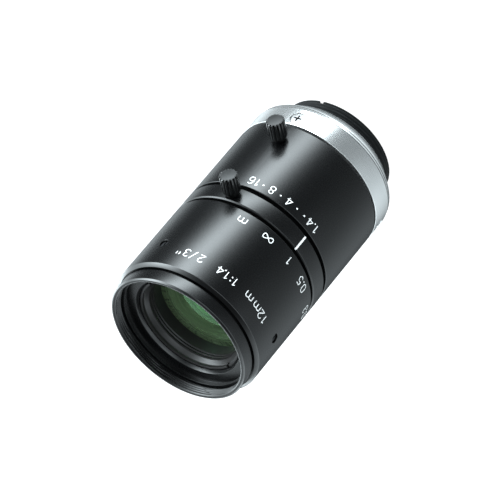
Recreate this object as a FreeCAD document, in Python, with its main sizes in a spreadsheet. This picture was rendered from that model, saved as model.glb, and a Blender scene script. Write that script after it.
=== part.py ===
"""Fixed focal length camera lens with manual focus, manual iris and two locking thumb screws.

The optical axis is +Z, towards the front of the lens.  The origin lies on that axis in the
mount flange, the face that meets the camera.  The index line faces -Y, and azimuths are
counted from it, anticlockwise as seen from the front.  Lengths are in millimetres.
"""
import FreeCAD, Part
import math
import os
import Sketcher

DOC = FreeCAD.newDocument("CameraLens")
SHEET = DOC.addObject("Spreadsheet::Sheet", "Sizes")
PIECES = {}
FIRST_ROW = 1


class Size:
    """A length or angle known both as a number and as an expression of sheet cells."""

    def __init__(self, number, text):
        self.number = float(number)
        self.text = text

    def __add__(self, other):
        other = as_size(other)
        return Size(self.number + other.number, f"({self.text} + {other.text})")

    def __sub__(self, other):
        other = as_size(other)
        return Size(self.number - other.number, f"({self.text} - {other.text})")

    def __mul__(self, other):
        other = as_size(other)
        return Size(self.number * other.number, f"({self.text} * {other.text})")

    def __truediv__(self, other):
        other = as_size(other)
        return Size(self.number / other.number, f"({self.text} / {other.text})")

    def __neg__(self):
        return Size(-self.number, f"(0 - {self.text})")


def as_size(value):
    return value if isinstance(value, Size) else Size(value, repr(value))


def cosine(angle):
    return Size(math.cos(math.radians(angle.number)), f"cos({angle.text} * 1deg)")


def sine(angle):
    return Size(math.sin(math.radians(angle.number)), f"sin({angle.text} * 1deg)")


def size(alias, number, meaning):
    """Write one driving size into the sheet and return it."""
    row = FIRST_ROW + len(size.rows)
    size.rows.append(alias)
    SHEET.set(f"A{row}", meaning)
    SHEET.set(f"B{row}", str(number))
    SHEET.setAlias(f"B{row}", alias)
    return Size(number, f"Sizes.{alias}")


size.rows = []

# Clearances
running_gap = size("running_gap", 0.05, "radial gap between pieces that turn or slide")
seat_gap = size("seat_gap", 0.03, "radial gap between pieces fixed to each other")
face_gap = size("face_gap", 0.1, "axial gap beside a turning face")
overcut = size("overcut", 1.0, "reach of a cutting tool beyond what it cuts")

# Rings along the axis, from the flange to the front
body_radius = size("body_radius", 16.75, "outside of the mount and the three rings")
mount_length = size("mount_length", 8.65, "flange to the front of the mount shell")
iris_gap = size("iris_gap", 0.5, "gap between mount shell and iris ring")
iris_ring_length = size("iris_ring_length", 18.9, "length of the iris ring")
index_gap = size("index_gap", 0.9, "gap between iris ring and index ring")
index_ring_length = size("index_ring_length", 3.95, "length of the index ring")
focus_gap = size("focus_gap", 0.85, "gap between index ring and focus ring")
focus_ring_length = size("focus_ring_length", 19.9, "length of the focus ring")
front_gap = size("front_gap", 0.35, "gap between focus ring and front ring at rest")
front_ring_length = size("front_ring_length", 3.3, "visible length of the front ring")
ring_edge = size("ring_edge", 0.12, "chamfer on the edges of the rings")
focus_chamfer = size("focus_chamfer", 0.43, "chamfer on the front of the focus ring")
ring_wall = size("ring_wall", 1.6, "wall of the rings")

# Mount shell and mount thread
flange_width = size("flange_width", 1.3, "width of the flange face beyond the mount thread")
shoulder_height = size("shoulder_height", 2.75, "flange to the edge of the tapered shoulder")
shoulder_drop = size("shoulder_drop", 0.3, "taper of the shoulder")
rim_height = size("rim_height", 3.85, "flange to the start of the full radius")
mount_edge = size("mount_edge", 0.2, "chamfer on the front edge of the mount shell")
mount_wall = size("mount_wall", 3.15, "wall of the mount shell round the barrel tail")
thread_radius = size("thread_radius", 12.7, "crest radius of the one inch mount thread")
thread_length = size("thread_length", 3.7, "length of the mount thread")
thread_chamfer = size("thread_chamfer", 0.25, "lead chamfer of the mount thread")
thread_wall = size("thread_wall", 2.1, "wall of the mount thread")
thread_relief_width = size("thread_relief_width", 0.7, "width of the groove behind the mount thread")
thread_relief_depth = size("thread_relief_depth", 0.3, "depth of that groove")
thread_seat_length = size("thread_seat_length", 2.9, "length of the thread tube inside the mount shell")
thread_notch_azimuth = size("thread_notch_azimuth", 65.0, "azimuth of the first spanner notch")
notch_size = size("notch_size", 0.75, "half diagonal of the spanner notches in the mount thread")

# Barrel, index ring seat and focus helicoid
index_seat = size("index_seat", 1.05, "length of barrel collar under the index ring")
sleeve_wall = size("sleeve_wall", 1.15, "wall of the helicoid sleeve on the barrel")
sleeve_thread_wall = size("sleeve_thread_wall", 0.75, "wall of the helicoid sleeve at its thread")
guide_wall = size("guide_wall", 1.0, "wall of the barrel's guide tube")
tail_wall = size("tail_wall", 2.57, "wall of the barrel tail")
tail_stop_gap = size("tail_stop_gap", 0.8, "room behind the lens unit")
focus_lip_length = size("focus_lip_length", 4.15, "length of the lip inside the focus ring")
focus_lip_width = size("focus_lip_width", 0.3, "height of that lip")
helicoid_length = size("helicoid_length", 6.4, "helicoid thread in front of the retainer")
retainer_length = size("retainer_length", 1.4, "length of the helicoid retainer")
retainer_seat_depth = size("retainer_seat_depth", 0.45, "depth of the retainer's seat")
helix_run_out = size("helix_run_out", 1.1, "room between the retainer and the lens unit's thread")
focus_lead = size("focus_lead", 2.5, "lens travel for one turn of the focus ring")
focus_to_infinity = size("focus_to_infinity", 19.7, "turn from rest to the infinity stop")
focus_to_near = size("focus_to_near", 50.7, "turn from rest to the near stop")
key_radius = size("key_radius", 0.7, "radius of the guide key")
key_depth = size("key_depth", 0.65, "reach of the guide key into the lens unit")
key_setback = size("key_setback", 4.1, "helicoid retainer to the guide key")
stop_pin_radius = size("stop_pin_radius", 0.35, "radius of the focus stop pin")
stop_pin_length = size("stop_pin_length", 0.8, "reach of the stop pin into its groove")
stop_azimuth = size("stop_azimuth", 240.0, "azimuth of the focus stop pin")

# Front of the lens unit
front_step = size("front_step", 1.0, "step from the body radius to the front ring")
front_rim_wall = size("front_rim_wall", 1.02, "wall round the filter thread")
rim_chamfer = size("rim_chamfer", 0.27, "chamfer at the mouth of the filter thread")
filter_depth = size("filter_depth", 2.2, "depth of the filter thread")
relief_width = size("relief_width", 0.42, "width of the groove behind the filter thread")
relief_depth = size("relief_depth", 0.4, "depth of that groove")
front_ledge = size("front_ledge", 0.2, "step inwards behind the groove")
front_floor_depth = size("front_floor_depth", 3.8, "front face to the floor of the front ring")
front_floor_thickness = size("front_floor_thickness", 1.2, "thickness of that floor")
floor_chamfer_width = size("floor_chamfer_width", 0.35, "width of the chamfer round its hole")
floor_chamfer_height = size("floor_chamfer_height", 0.75, "height of that chamfer")
floor_hole_margin = size("floor_hole_margin", 0.1, "floor hole beyond the retaining thread")
skirt_wall = size("skirt_wall", 1.2, "wall of the front ring's skirt")
skirt_length = size("skirt_length", 2.0, "length of the skirt behind the floor")
neck_length = size("neck_length", 2.1, "length of the barrel neck inside the skirt")
neck_wall = size("neck_wall", 1.7, "wall of that neck")
ring_front_width = size("ring_front_width", 0.8, "width of the retaining ring's front face")
ring_cone_width = size("ring_cone_width", 0.55, "width of the cone inside the retaining ring")
ring_cone_height = size("ring_cone_height", 1.65, "height of that cone")
ring_front_edge = size("ring_front_edge", 0.15, "chamfer on the retaining ring's outer edge")
ring_length = size("ring_length", 5.65, "length of the front retaining ring")
ridge_depth = size("ridge_depth", 0.35, "depth of the light-trap ridges")
ridge_pitch = size("ridge_pitch", 0.85, "pitch of the light-trap ridges")
spanner_slot_width = size("spanner_slot_width", 0.9, "width of the retaining ring's slots")
spanner_slot_depth = size("spanner_slot_depth", 0.8, "depth of those slots")
spanner_azimuth = size("spanner_azimuth", 100.0, "azimuth of the first of those slots")

# Lens elements, front group
lens_1_step = size("lens_1_step", 0.35, "step from the retaining thread to the first element's bore")
lens_1_edge = size("lens_1_edge", 3.9, "edge thickness of the first element")
group_step = size("group_step", 2.0, "step from the first bore to the inner front group")
lens_1_crown = size("lens_1_crown", 1.6, "height of the first element's front")
lens_1_hollow = size("lens_1_hollow", 4.0, "depth of its rear")
lens_2_edge = size("lens_2_edge", 3.4, "edge thickness of the second element")
lens_2_front_hollow = size("lens_2_front_hollow", 0.7, "depth of the second element's front")
lens_2_rear_hollow = size("lens_2_rear_hollow", 1.5, "depth of its rear")
lens_3_edge = size("lens_3_edge", 3.0, "edge thickness of the third element")
lens_3_front_crown = size("lens_3_front_crown", 1.1, "height of the third element's front")
lens_3_rear_crown = size("lens_3_rear_crown", 0.75, "height of its rear")
front_spacer_length = size("front_spacer_length", 1.3, "length of the front spacer")
inner_ring_length = size("inner_ring_length", 1.3, "length of the inner retaining ring")
spacer_wall = size("spacer_wall", 1.05, "wall of spacers and inner retaining rings")
group_recess = size("group_recess", 0.2, "inner retaining ring below the first element's seat")
throat_step = size("throat_step", 1.95, "step from the inner front group to the throat")

# Iris
iris_pin_setback = size("iris_pin_setback", 2.75, "front of the iris ring to the drive pin")
chamber_wall = size("chamber_wall", 0.55, "wall of the lens unit round the iris")
rotor_thickness = size("rotor_thickness", 1.4, "thickness of the cam plate")
housing_wall = size("housing_wall", 0.4, "wall of the iris housing's rim")
housing_floor = size("housing_floor", 0.8, "thickness of the iris housing's floor")
pivot_inset = size("pivot_inset", 2.0, "edge of the cam plate to the circle of the blade pivots")
blade_closed_radius = size("blade_closed_radius", 0.55, "aperture radius with the blades closed")
blade_width = size("blade_width", 3.5, "width of a blade")
blade_thickness = size("blade_thickness", 0.1, "thickness of a blade")
blade_pitch = size("blade_pitch", 0.17, "distance from one blade to the next along the axis")
blade_before = size("blade_before", 6.0, "blade arc beyond its pivot")
blade_after = size("blade_after", 118.0, "blade arc from its pivot to its tip")
pivot_margin = size("pivot_margin", 1.1, "pivot outside the blade's arc")
pivot_radius = size("pivot_radius", 0.35, "radius of a blade's pivot pin")
lever_length = size("lever_length", 1.8, "pivot pin to cam pin")
lever_angle = size("lever_angle", 50.0, "lever from the radius through the pivot, blades open")
cam_pin_radius = size("cam_pin_radius", 0.3, "radius of a blade's cam pin")
lug_margin = size("lug_margin", 0.25, "metal round the pins of a blade")
cam_margin = size("cam_margin", 1.0, "cam slot beyond the cam pin's end positions")
iris_turn = size("iris_turn", 53.0, "turn of the iris ring from open to closed")
drive_pin_radius = size("drive_pin_radius", 0.4, "radius of the iris drive pin")
drive_pin_bite = size("drive_pin_bite", 1.1, "drive pin inside the cam plate")
drive_groove_depth = size("drive_groove_depth", 0.75, "depth of the iris ring's groove")
drive_azimuth = size("drive_azimuth", 200.0, "azimuth of the drive pin with the iris open")
slot_margin = size("slot_margin", 1.5, "slots beyond the drive pin's end positions")
iris_bore_margin = size("iris_bore_margin", 0.2, "housing and cam plate bore beyond the open blades")

# Rear group
cell_thread_length = size("cell_thread_length", 7.0, "thread of the rear cell")
cell_thread_recess = size("cell_thread_recess", 0.2, "lens unit beyond that thread")
cell_length = size("cell_length", 19.4, "length of the rear cell")
cell_clearance = size("cell_clearance", 1.6, "room between the rear cell's tube and the barrel tail")
cell_wall = size("cell_wall", 1.95, "wall of that tube")
cell_throat_depth = size("cell_throat_depth", 3.2, "depth of the rear cell's throat")
cell_throat_step = size("cell_throat_step", 1.25, "step from the rear bore to the throat")
lens_4_edge = size("lens_4_edge", 2.7, "edge thickness of the fourth element")
lens_4_crown = size("lens_4_crown", 1.6, "height of the fourth element's front")
cement_crown = size("cement_crown", 1.2, "height of the cemented face")
lens_5_edge = size("lens_5_edge", 3.2, "edge thickness of the fifth element")
lens_5_hollow = size("lens_5_hollow", 0.8, "depth of the fifth element's rear")
lens_6_edge = size("lens_6_edge", 2.4, "edge thickness of the sixth element")
lens_6_crown = size("lens_6_crown", 0.8, "height of both faces of the sixth element")
lens_7_edge = size("lens_7_edge", 2.6, "edge thickness of the seventh element")
lens_7_front_crown = size("lens_7_front_crown", 0.5, "height of the seventh element's front")
lens_7_rear_crown = size("lens_7_rear_crown", 0.9, "height of its rear")
rear_spacer_1_length = size("rear_spacer_1_length", 1.2, "length of the first rear spacer")
rear_spacer_2_length = size("rear_spacer_2_length", 1.6, "length of the second rear spacer")
rear_ring_length = size("rear_ring_length", 1.6, "length of the rear retaining ring")

# Screws
lock_azimuth = size("lock_azimuth", 60.0, "azimuth of the thumb screws and mount screws")
lock_shaft_radius = size("lock_shaft_radius", 0.8, "radius of a thumb screw's shaft")
lock_tip_gap = size("lock_tip_gap", 0.1, "thumb screw's tip above what it clamps")
lock_collar_radius = size("lock_collar_radius", 1.4, "radius of the collar under its head")
lock_collar_gap = size("lock_collar_gap", 0.15, "collar above the ring")
lock_collar_height = size("lock_collar_height", 1.0, "height of the collar")
lock_head_radius = size("lock_head_radius", 1.93, "radius of its head")
lock_head_height = size("lock_head_height", 4.0, "height of its head")
lock_head_edge = size("lock_head_edge", 0.18, "chamfer on its top")
flute_radius = size("flute_radius", 0.2, "radius of its flutes")
iris_lock_offset = size("iris_lock_offset", 4.25, "rear of the iris ring to its thumb screw")
set_screw_radius = size("set_screw_radius", 1.0, "radius of the focus set screws")
set_screw_recess = size("set_screw_recess", 0.2, "depth of those screws below the ring")
set_screw_setback = size("set_screw_setback", 6.25, "front of the focus ring to those screws")
set_screw_azimuth = size("set_screw_azimuth", 81.5, "azimuth of the first of those screws")
driver_slot_width = size("driver_slot_width", 0.35, "width of slots and cross recesses")
driver_slot_depth = size("driver_slot_depth", 0.45, "depth of slots and cross recesses")
mount_screw_setback = size("mount_screw_setback", 2.15, "front of the mount to its screws")
mount_screw_radius = size("mount_screw_radius", 0.8, "shank radius of the mount screws")
mount_screw_bite = size("mount_screw_bite", 1.0, "mount screws inside the barrel tail")
mount_head_radius = size("mount_head_radius", 1.5, "head radius of the mount screws")
mount_head_depth = size("mount_head_depth", 1.15, "depth of their counterbores")
mount_head_recess = size("mount_head_recess", 0.15, "depth of their heads below the shell")
mount_cross_span = size("mount_cross_span", 1.7, "span of their cross recesses")

INDEX_DIRECTION = -90.0
BLADE_COUNT = 6
SCREW_COUNT = 3
FLUTE_COUNT = 18
SLOT_COUNT = 2
FULL_TURN = 360.0
QUARTER_TURN = 90.0

# Places along the axis
iris_rear = mount_length + iris_gap
iris_front = iris_rear + iris_ring_length
index_rear = iris_front + index_gap
index_front = index_rear + index_ring_length
focus_rear = index_front + focus_gap
focus_front = focus_rear + focus_ring_length
front_rear = focus_front + front_gap
front_face = front_rear + front_ring_length
barrel_step = index_rear + index_seat
sleeve_rear = barrel_step + face_gap
lip_rear = focus_front - focus_lip_length
sleeve_front = lip_rear - face_gap
retainer_front = sleeve_front - helicoid_length
retainer_rear = retainer_front - retainer_length
near_travel = focus_lead * focus_to_near / FULL_TURN
infinity_travel = focus_lead * focus_to_infinity / FULL_TURN
helix_rear = retainer_front + infinity_travel + helix_run_out
floor_front = front_face - front_floor_depth
floor_rear = floor_front - front_floor_thickness
helix_front = floor_rear - neck_length
skirt_rear = floor_rear - skirt_length
ring_front = floor_front - floor_chamfer_height
lens_1_front = ring_front - ring_length
lens_1_seat = lens_1_front - lens_1_edge
inner_ring_front = lens_1_seat - group_recess
lens_2_front = inner_ring_front - inner_ring_length
lens_2_rear = lens_2_front - lens_2_edge
lens_3_front = lens_2_rear - front_spacer_length
lens_3_seat = lens_3_front - lens_3_edge
pin_height = iris_front - iris_pin_setback
rotor_rear = pin_height - rotor_thickness / 2.0
rotor_front = rotor_rear + rotor_thickness
stack_rear = rotor_front + face_gap
stack_front = stack_rear + blade_pitch * BLADE_COUNT
housing_front = stack_front + housing_floor
cell_front = rotor_rear - face_gap
unit_rear = cell_front - cell_thread_length - cell_thread_recess
cell_rear = cell_front - cell_length
lens_4_seat = cell_front - cell_throat_depth
lens_4_rear = lens_4_seat - lens_4_edge
lens_5_front = lens_4_rear - seat_gap
lens_5_rear = lens_5_front - lens_5_edge
lens_6_front = lens_5_rear - rear_spacer_1_length
lens_6_rear = lens_6_front - lens_6_edge
lens_7_front = lens_6_rear - rear_spacer_2_length
lens_7_rear = lens_7_front - lens_7_edge
rear_ring_rear = lens_7_rear - rear_ring_length
tail_front = unit_rear - infinity_travel - tail_stop_gap
tail_rear = thread_seat_length + face_gap
key_height = retainer_rear - key_setback
mount_screw_height = mount_length - mount_screw_setback
set_screw_height = focus_front - set_screw_setback
focus_lock_height = index_rear + index_ring_length / 2.0
iris_lock_height = iris_rear + iris_lock_offset

# Radii, from the outside in
ring_bore = body_radius - ring_wall
barrel_radius = ring_bore - running_gap
sleeve_bore = barrel_radius - sleeve_wall
sleeve_front_bore = barrel_radius - sleeve_thread_wall
guide_radius = sleeve_bore - running_gap
retainer_seat = guide_radius - retainer_seat_depth
guide_bore = guide_radius - guide_wall
unit_radius = guide_bore - running_gap
chamber_radius = unit_radius - chamber_wall
helix_radius = sleeve_front_bore - running_gap
lip_bore = ring_bore - focus_lip_width
skirt_radius = lip_bore - running_gap * 2.0
neck_radius = skirt_radius - skirt_wall - running_gap
retaining_bore = neck_radius - neck_wall
floor_hole = retaining_bore + floor_hole_margin
rim_radius = body_radius - front_step
filter_bore = rim_radius - front_rim_wall
ledge_bore = filter_bore - front_ledge
retaining_radius = retaining_bore - running_gap
ridge_bore = retaining_radius - ring_front_width - ring_cone_width
lens_1_bore = retaining_bore - lens_1_step
group_bore = lens_1_bore - group_step
throat_radius = group_bore - throat_step
mount_bore = body_radius - mount_wall
tail_radius = mount_bore - seat_gap
tail_bore = tail_radius - tail_wall
flange_radius = thread_radius + flange_width
thread_seat_bore = thread_radius + seat_gap
thread_bore = thread_radius - thread_wall
housing_radius = chamber_radius - seat_gap
housing_bore = housing_radius - housing_wall
rotor_radius = housing_bore - running_gap
pivot_circle = rotor_radius - pivot_inset
blade_outer_radius = pivot_circle - pivot_margin
blade_open_radius = blade_outer_radius - blade_width
iris_bore = blade_open_radius + iris_bore_margin
cell_radius = tail_bore - cell_clearance
cell_bore = cell_radius - cell_wall
cell_throat = cell_bore - cell_throat_step


def add(kind, label):
    thing = DOC.addObject(kind, label)
    thing.Label = label
    return thing


def bind(thing, **properties):
    """Bind properties of an object to sizes."""
    for name, value in properties.items():
        thing.setExpression(name, as_size(value).text)


def place(thing, x, y, z, *turns):
    """Place an object at x, y, z, turned by (axis, angle) pairs, the last one first."""
    turned_by = [f"rotation(vector({axis}); {as_size(angle).text})" for axis, angle in turns]
    rotation = " * ".join(turned_by) or "rotation(vector(0; 0; 1); 0)"
    position = "; ".join(as_size(value).text for value in (x, y, z))
    thing.setExpression("Placement", f"placement(vector({position}); {rotation})")


def direction(azimuth):
    """Angle from +X of an azimuth counted from the index line."""
    return as_size(azimuth) + INDEX_DIRECTION


ABOUT_X = "1; 0; 0"
ABOUT_Y = "0; 1; 0"
ABOUT_Z = "0; 0; 1"


def cylinder(label, radius, low, high):
    rod = add("Part::Cylinder", label)
    bind(rod, Radius=radius, Height=high - low)
    place(rod, 0.0, 0.0, low)
    return rod


def axial(label, radius, ring, azimuth, low, high):
    """A cylinder parallel to the axis, at an azimuth on a ring."""
    rod = add("Part::Cylinder", label)
    bind(rod, Radius=radius, Height=high - low)
    angle = direction(azimuth)
    place(rod, ring * cosine(angle), ring * sine(angle), low)
    return rod


def radial(label, radius, start, end, height, azimuth):
    """A cylinder along a radius of the lens, from radius start to radius end."""
    rod = add("Part::Cylinder", label)
    bind(rod, Radius=radius, Height=end - start)
    angle = direction(azimuth)
    place(rod, start * cosine(angle), start * sine(angle), height, (ABOUT_Z, angle), (ABOUT_Y, QUARTER_TURN))
    return rod


def block(label, width, start, end, low, high, azimuth):
    """A box along a radius of the lens, from radius start to radius end."""
    box = add("Part::Box", label)
    bind(box, Length=end - start, Width=width, Height=high - low)
    angle = direction(azimuth)
    half = width / 2.0
    x = start * cosine(angle) + half * sine(angle)
    y = start * sine(angle) - half * cosine(angle)
    place(box, x, y, low, (ABOUT_Z, angle))
    return box


def sector(label, inner, outer, low, high, azimuth, sweep):
    """Part of a ring, from an azimuth on through the sweep."""
    pie = add("Part::Cylinder", f"{label}_pie")
    bind(pie, Radius=outer, Height=high - low, Angle=sweep)
    place(pie, 0.0, 0.0, low, (ABOUT_Z, direction(azimuth)))
    core = cylinder(f"{label}_core", inner, low - overcut, high + overcut)
    return cut(label, pie, core)


def cut(label, base, *tools):
    tool = tools[0] if len(tools) == 1 else fuse(f"{label}_tools", *tools)
    piece = add("Part::Cut", label)
    piece.Base = base
    piece.Tool = tool
    return piece


def fuse(label, *members):
    piece = add("Part::MultiFuse", label)
    piece.Shapes = list(members)
    return piece


def group(label, members):
    """Separate identical solids that share one file."""
    piece = add("Part::Compound", label)
    piece.Links = list(members)
    return piece


def keep(label, piece):
    """Give a finished piece its name and list it for export."""
    piece.Label = label
    PIECES[label] = piece


def turned(label, corners, arcs=()):
    """Revolve a closed outline of (radius, height) corners about the axis.

    Edge n runs from corner n to the next one.  An edge listed in arcs is a circular arc
    with its centre on the axis; its value is the arc's radius, for the first guess only.
    """
    body = add("PartDesign::Body", f"{label}_body")
    plane = next(item for item in body.Origin.OriginFeatures if item.Role == "XZ_Plane")
    sketch = body.newObject("Sketcher::SketchObject", f"{label}_outline")
    sketch.AttachmentSupport = [(plane, "")]
    sketch.MapMode = "FlatFace"
    points = [FreeCAD.Vector(radius.number, height.number, 0) for radius, height in corners]
    ends = []
    for number, start in enumerate(points):
        finish = points[(number + 1) % len(points)]
        if number in arcs:
            ends.append(draw_arc(sketch, start, finish))
        else:
            sketch.addGeometry(Part.LineSegment(start, finish), False)
            ends.append((1, 2))
    for number in range(len(points)):
        after = (number + 1) % len(points)
        joint = Sketcher.Constraint("Coincident", number, ends[number][1], after, ends[after][0])
        sketch.addConstraint(joint)
    for number, (radius, height) in enumerate(corners):
        pin(sketch, "DistanceX", number, ends[number][0], radius)
        pin(sketch, "DistanceY", number, ends[number][0], height)
    for number in arcs:
        sketch.addConstraint(Sketcher.Constraint("PointOnObject", number, 3, -2))
    revolution = body.newObject("PartDesign::Revolution", f"{label}_revolution")
    revolution.Profile = sketch
    revolution.ReferenceAxis = (sketch, ["V_Axis"])
    revolution.Angle = FULL_TURN
    return body


def draw_arc(sketch, start, finish):
    """Draw the arc through two points whose centre is on the sketch's vertical axis."""
    middle = (start + finish) / 2.0
    chord = finish - start
    centre = FreeCAD.Vector(0, middle.y + middle.x * chord.x / chord.y, 0)
    from_angle = math.atan2(start.y - centre.y, start.x)
    to_angle = math.atan2(finish.y - centre.y, finish.x)
    circle = Part.Circle(centre, FreeCAD.Vector(0, 0, 1), (start - centre).Length)
    forward = to_angle > from_angle
    angles = (from_angle, to_angle) if forward else (to_angle, from_angle)
    sketch.addGeometry(Part.ArcOfCircle(circle, *angles), False)
    return (1, 2) if forward else (2, 1)


def pin(sketch, kind, edge, end, value):
    """Hold one coordinate of a corner at a size, measured from the origin."""
    number = sketch.addConstraint(Sketcher.Constraint(kind, -1, 1, edge, end, value.number))
    sketch.setExpression(f"Constraints[{number}]", value.text)


def tube(label, bore, radius, low, high):
    return turned(label, [(bore, low), (radius, low), (radius, high), (bore, high)])


def element(label, rim, rear, front, rear_clear, rear_bulge, front_clear, front_bulge):
    """A lens element with flat seats; a bulge is the height of a face, negative if hollow."""
    axis = as_size(0.0)
    corners = [
        (axis, rear - rear_bulge),
        (rear_clear, rear),
        (rim, rear),
        (rim, front),
        (front_clear, front),
        (axis, front + front_bulge),
    ]
    return turned(label, corners, arcs=(0, 4))


def around(count, start):
    """Azimuths of equal copies round the axis."""
    return [start + FULL_TURN * number / count for number in range(count)]


def make_mount():
    tail_seat = tail_rear - face_gap / 2.0
    zero = as_size(0.0)
    shell = turned("mount_shell", [
        (thread_seat_bore, zero),
        (flange_radius, zero),
        (body_radius - shoulder_drop, shoulder_height),
        (body_radius, rim_height),
        (body_radius, mount_length - mount_edge),
        (body_radius - mount_edge, mount_length),
        (mount_bore, mount_length),
        (mount_bore, tail_seat),
        (thread_seat_bore, tail_seat),
    ])
    head_seat = body_radius - mount_head_depth
    holes = []
    screws = []
    for number, azimuth in enumerate(around(SCREW_COUNT, lock_azimuth), 1):
        holes.append(radial(f"mount_head_hole_{number}", mount_head_radius + running_gap * 2.0,
                            head_seat, body_radius + overcut, mount_screw_height, azimuth))
        holes.append(radial(f"mount_shank_hole_{number}", mount_screw_radius + running_gap,
                            mount_bore - overcut, head_seat + overcut, mount_screw_height, azimuth))
        screws.append(make_mount_screw(number, azimuth, head_seat))
    keep("mount_base", cut("mount_base", shell, *holes))
    keep("mount_screws", group("mount_screws", screws))


def make_mount_screw(number, azimuth, head_seat):
    name = f"mount_screw_{number}"
    head_top = body_radius - mount_head_recess
    head = radial(f"{name}_head", mount_head_radius, head_seat, head_top, mount_screw_height, azimuth)
    shank = radial(f"{name}_shank", mount_screw_radius, tail_radius - mount_screw_bite, head_seat,
                   mount_screw_height, azimuth)
    half = mount_cross_span / 2.0
    floor = head_top - driver_slot_depth
    upright = block(f"{name}_upright", driver_slot_width, floor, head_top + overcut,
                    mount_screw_height - half, mount_screw_height + half, azimuth)
    level = block(f"{name}_level", mount_cross_span, floor, head_top + overcut,
                  mount_screw_height - driver_slot_width / 2.0,
                  mount_screw_height + driver_slot_width / 2.0, azimuth)
    return cut(name, fuse(f"{name}_blank", head, shank), upright, level)


def make_mount_thread():
    tip = -thread_length
    zero = as_size(0.0)
    blank = turned("mount_thread_blank", [
        (thread_bore, tip),
        (thread_radius - thread_chamfer, tip),
        (thread_radius, tip + thread_chamfer),
        (thread_radius, zero),
        (thread_radius - thread_relief_depth, zero),
        (thread_radius - thread_relief_depth, thread_relief_width),
        (thread_radius, thread_relief_width),
        (thread_radius, thread_seat_length),
        (thread_bore, thread_seat_length),
    ])
    notches = []
    for number, azimuth in enumerate(around(SLOT_COUNT, thread_notch_azimuth), 1):
        notch = add("Part::Prism", f"mount_notch_{number}")
        notch.Polygon = 4
        angle = direction(azimuth)
        start = thread_bore - overcut
        bind(notch, Circumradius=notch_size, Height=thread_radius - start + overcut)
        place(notch, start * cosine(angle), start * sine(angle), tip, (ABOUT_Z, angle), (ABOUT_Y, QUARTER_TURN))
        notches.append(notch)
    keep("c_mount_thread", cut("c_mount_thread", blank, *notches))


def make_main_barrel():
    blank = turned("main_barrel_blank", [
        (tail_bore, tail_rear),
        (tail_radius, tail_rear),
        (tail_radius, mount_length),
        (barrel_radius, mount_length),
        (barrel_radius, barrel_step),
        (guide_radius, barrel_step),
        (guide_radius, retainer_rear),
        (retainer_seat, retainer_rear),
        (retainer_seat, retainer_front),
        (guide_bore, retainer_front),
        (guide_bore, tail_front),
        (tail_bore, tail_front),
    ])
    window_low = pin_height - drive_pin_radius - infinity_travel - face_gap
    window_high = pin_height + drive_pin_radius + near_travel + face_gap
    tools = [
        drive_window("barrel_window", guide_bore - overcut, barrel_radius + overcut, window_low, window_high),
        radial("key_hole", key_radius + seat_gap, guide_bore - overcut, guide_radius + overcut, key_height,
               stop_azimuth),
        axial("stop_pin_hole", stop_pin_radius + seat_gap, stop_ring(), stop_azimuth,
              barrel_step - stop_pin_length - face_gap, barrel_step + overcut),
    ]
    for number, azimuth in enumerate(around(SCREW_COUNT, lock_azimuth), 1):
        tools.append(radial(f"tail_screw_hole_{number}", mount_screw_radius + running_gap,
                            tail_radius - mount_screw_bite - face_gap, tail_radius + overcut,
                            mount_screw_height, azimuth))
    keep("main_barrel", cut("main_barrel", blank, *tools))
    keep("guide_key", radial("guide_key", key_radius, unit_radius - key_depth,
                             guide_radius - running_gap, key_height, stop_azimuth))
    keep("focus_stop_pin", axial("focus_stop_pin", stop_pin_radius, stop_ring(), stop_azimuth,
                                 barrel_step - stop_pin_length, sleeve_rear + stop_pin_length))


def stop_ring():
    """Radius of the circle on which the focus stop pin stands."""
    return (sleeve_bore + barrel_radius) / 2.0


def drive_window(label, inner, outer, low, high):
    """Slot that lets the iris drive pin through a wall over its whole turn."""
    half_pin = drive_pin_radius / inner * math.degrees(1.0)
    margin = slot_margin + half_pin
    return sector(label, inner, outer, low, high, drive_azimuth - iris_turn - margin,
                  iris_turn + margin * 2.0)


def make_index_ring():
    blank = turned("index_ring_blank", [
        (ring_bore, index_rear),
        (body_radius - ring_edge, index_rear),
        (body_radius, index_rear + ring_edge),
        (body_radius, index_front - ring_edge * 2.0),
        (body_radius - ring_edge * 2.0, index_front),
        (ring_bore, index_front),
    ])
    keep("index_ring", cut("index_ring", blank, lock_hole("focus", focus_lock_height)))


def lock_hole(name, height):
    return radial(f"{name}_lock_hole", lock_shaft_radius + running_gap, ring_bore - overcut,
                  body_radius + overcut, height, lock_azimuth)


def make_lock_screw(name, height):
    """A thumb screw on a radius of the lens, modelled along its own axis first."""
    label = f"{name}_lock_screw"
    tip = barrel_radius + lock_tip_gap
    collar = body_radius + lock_collar_gap
    head = collar + lock_collar_height
    top = head + lock_head_height
    zero = as_size(0.0)
    blank = turned(f"{label}_blank", [
        (zero, tip),
        (lock_shaft_radius, tip),
        (lock_shaft_radius, collar),
        (lock_collar_radius, collar),
        (lock_collar_radius, head),
        (lock_head_radius, head),
        (lock_head_radius, top - lock_head_edge),
        (lock_head_radius - lock_head_edge, top),
        (zero, top),
    ])
    flute_ring = lock_head_radius + flute_radius / 4.0
    flutes = [axial(f"{label}_flute_{number}", flute_radius, flute_ring, azimuth, head - overcut, top + overcut)
              for number, azimuth in enumerate(around(FLUTE_COUNT, as_size(0.0)), 1)]
    screw = cut(label, blank, *flutes)
    angle = direction(lock_azimuth)
    place(screw, 0.0, 0.0, height, (ABOUT_Z, angle), (ABOUT_Y, QUARTER_TURN))
    keep(label, screw)


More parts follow.
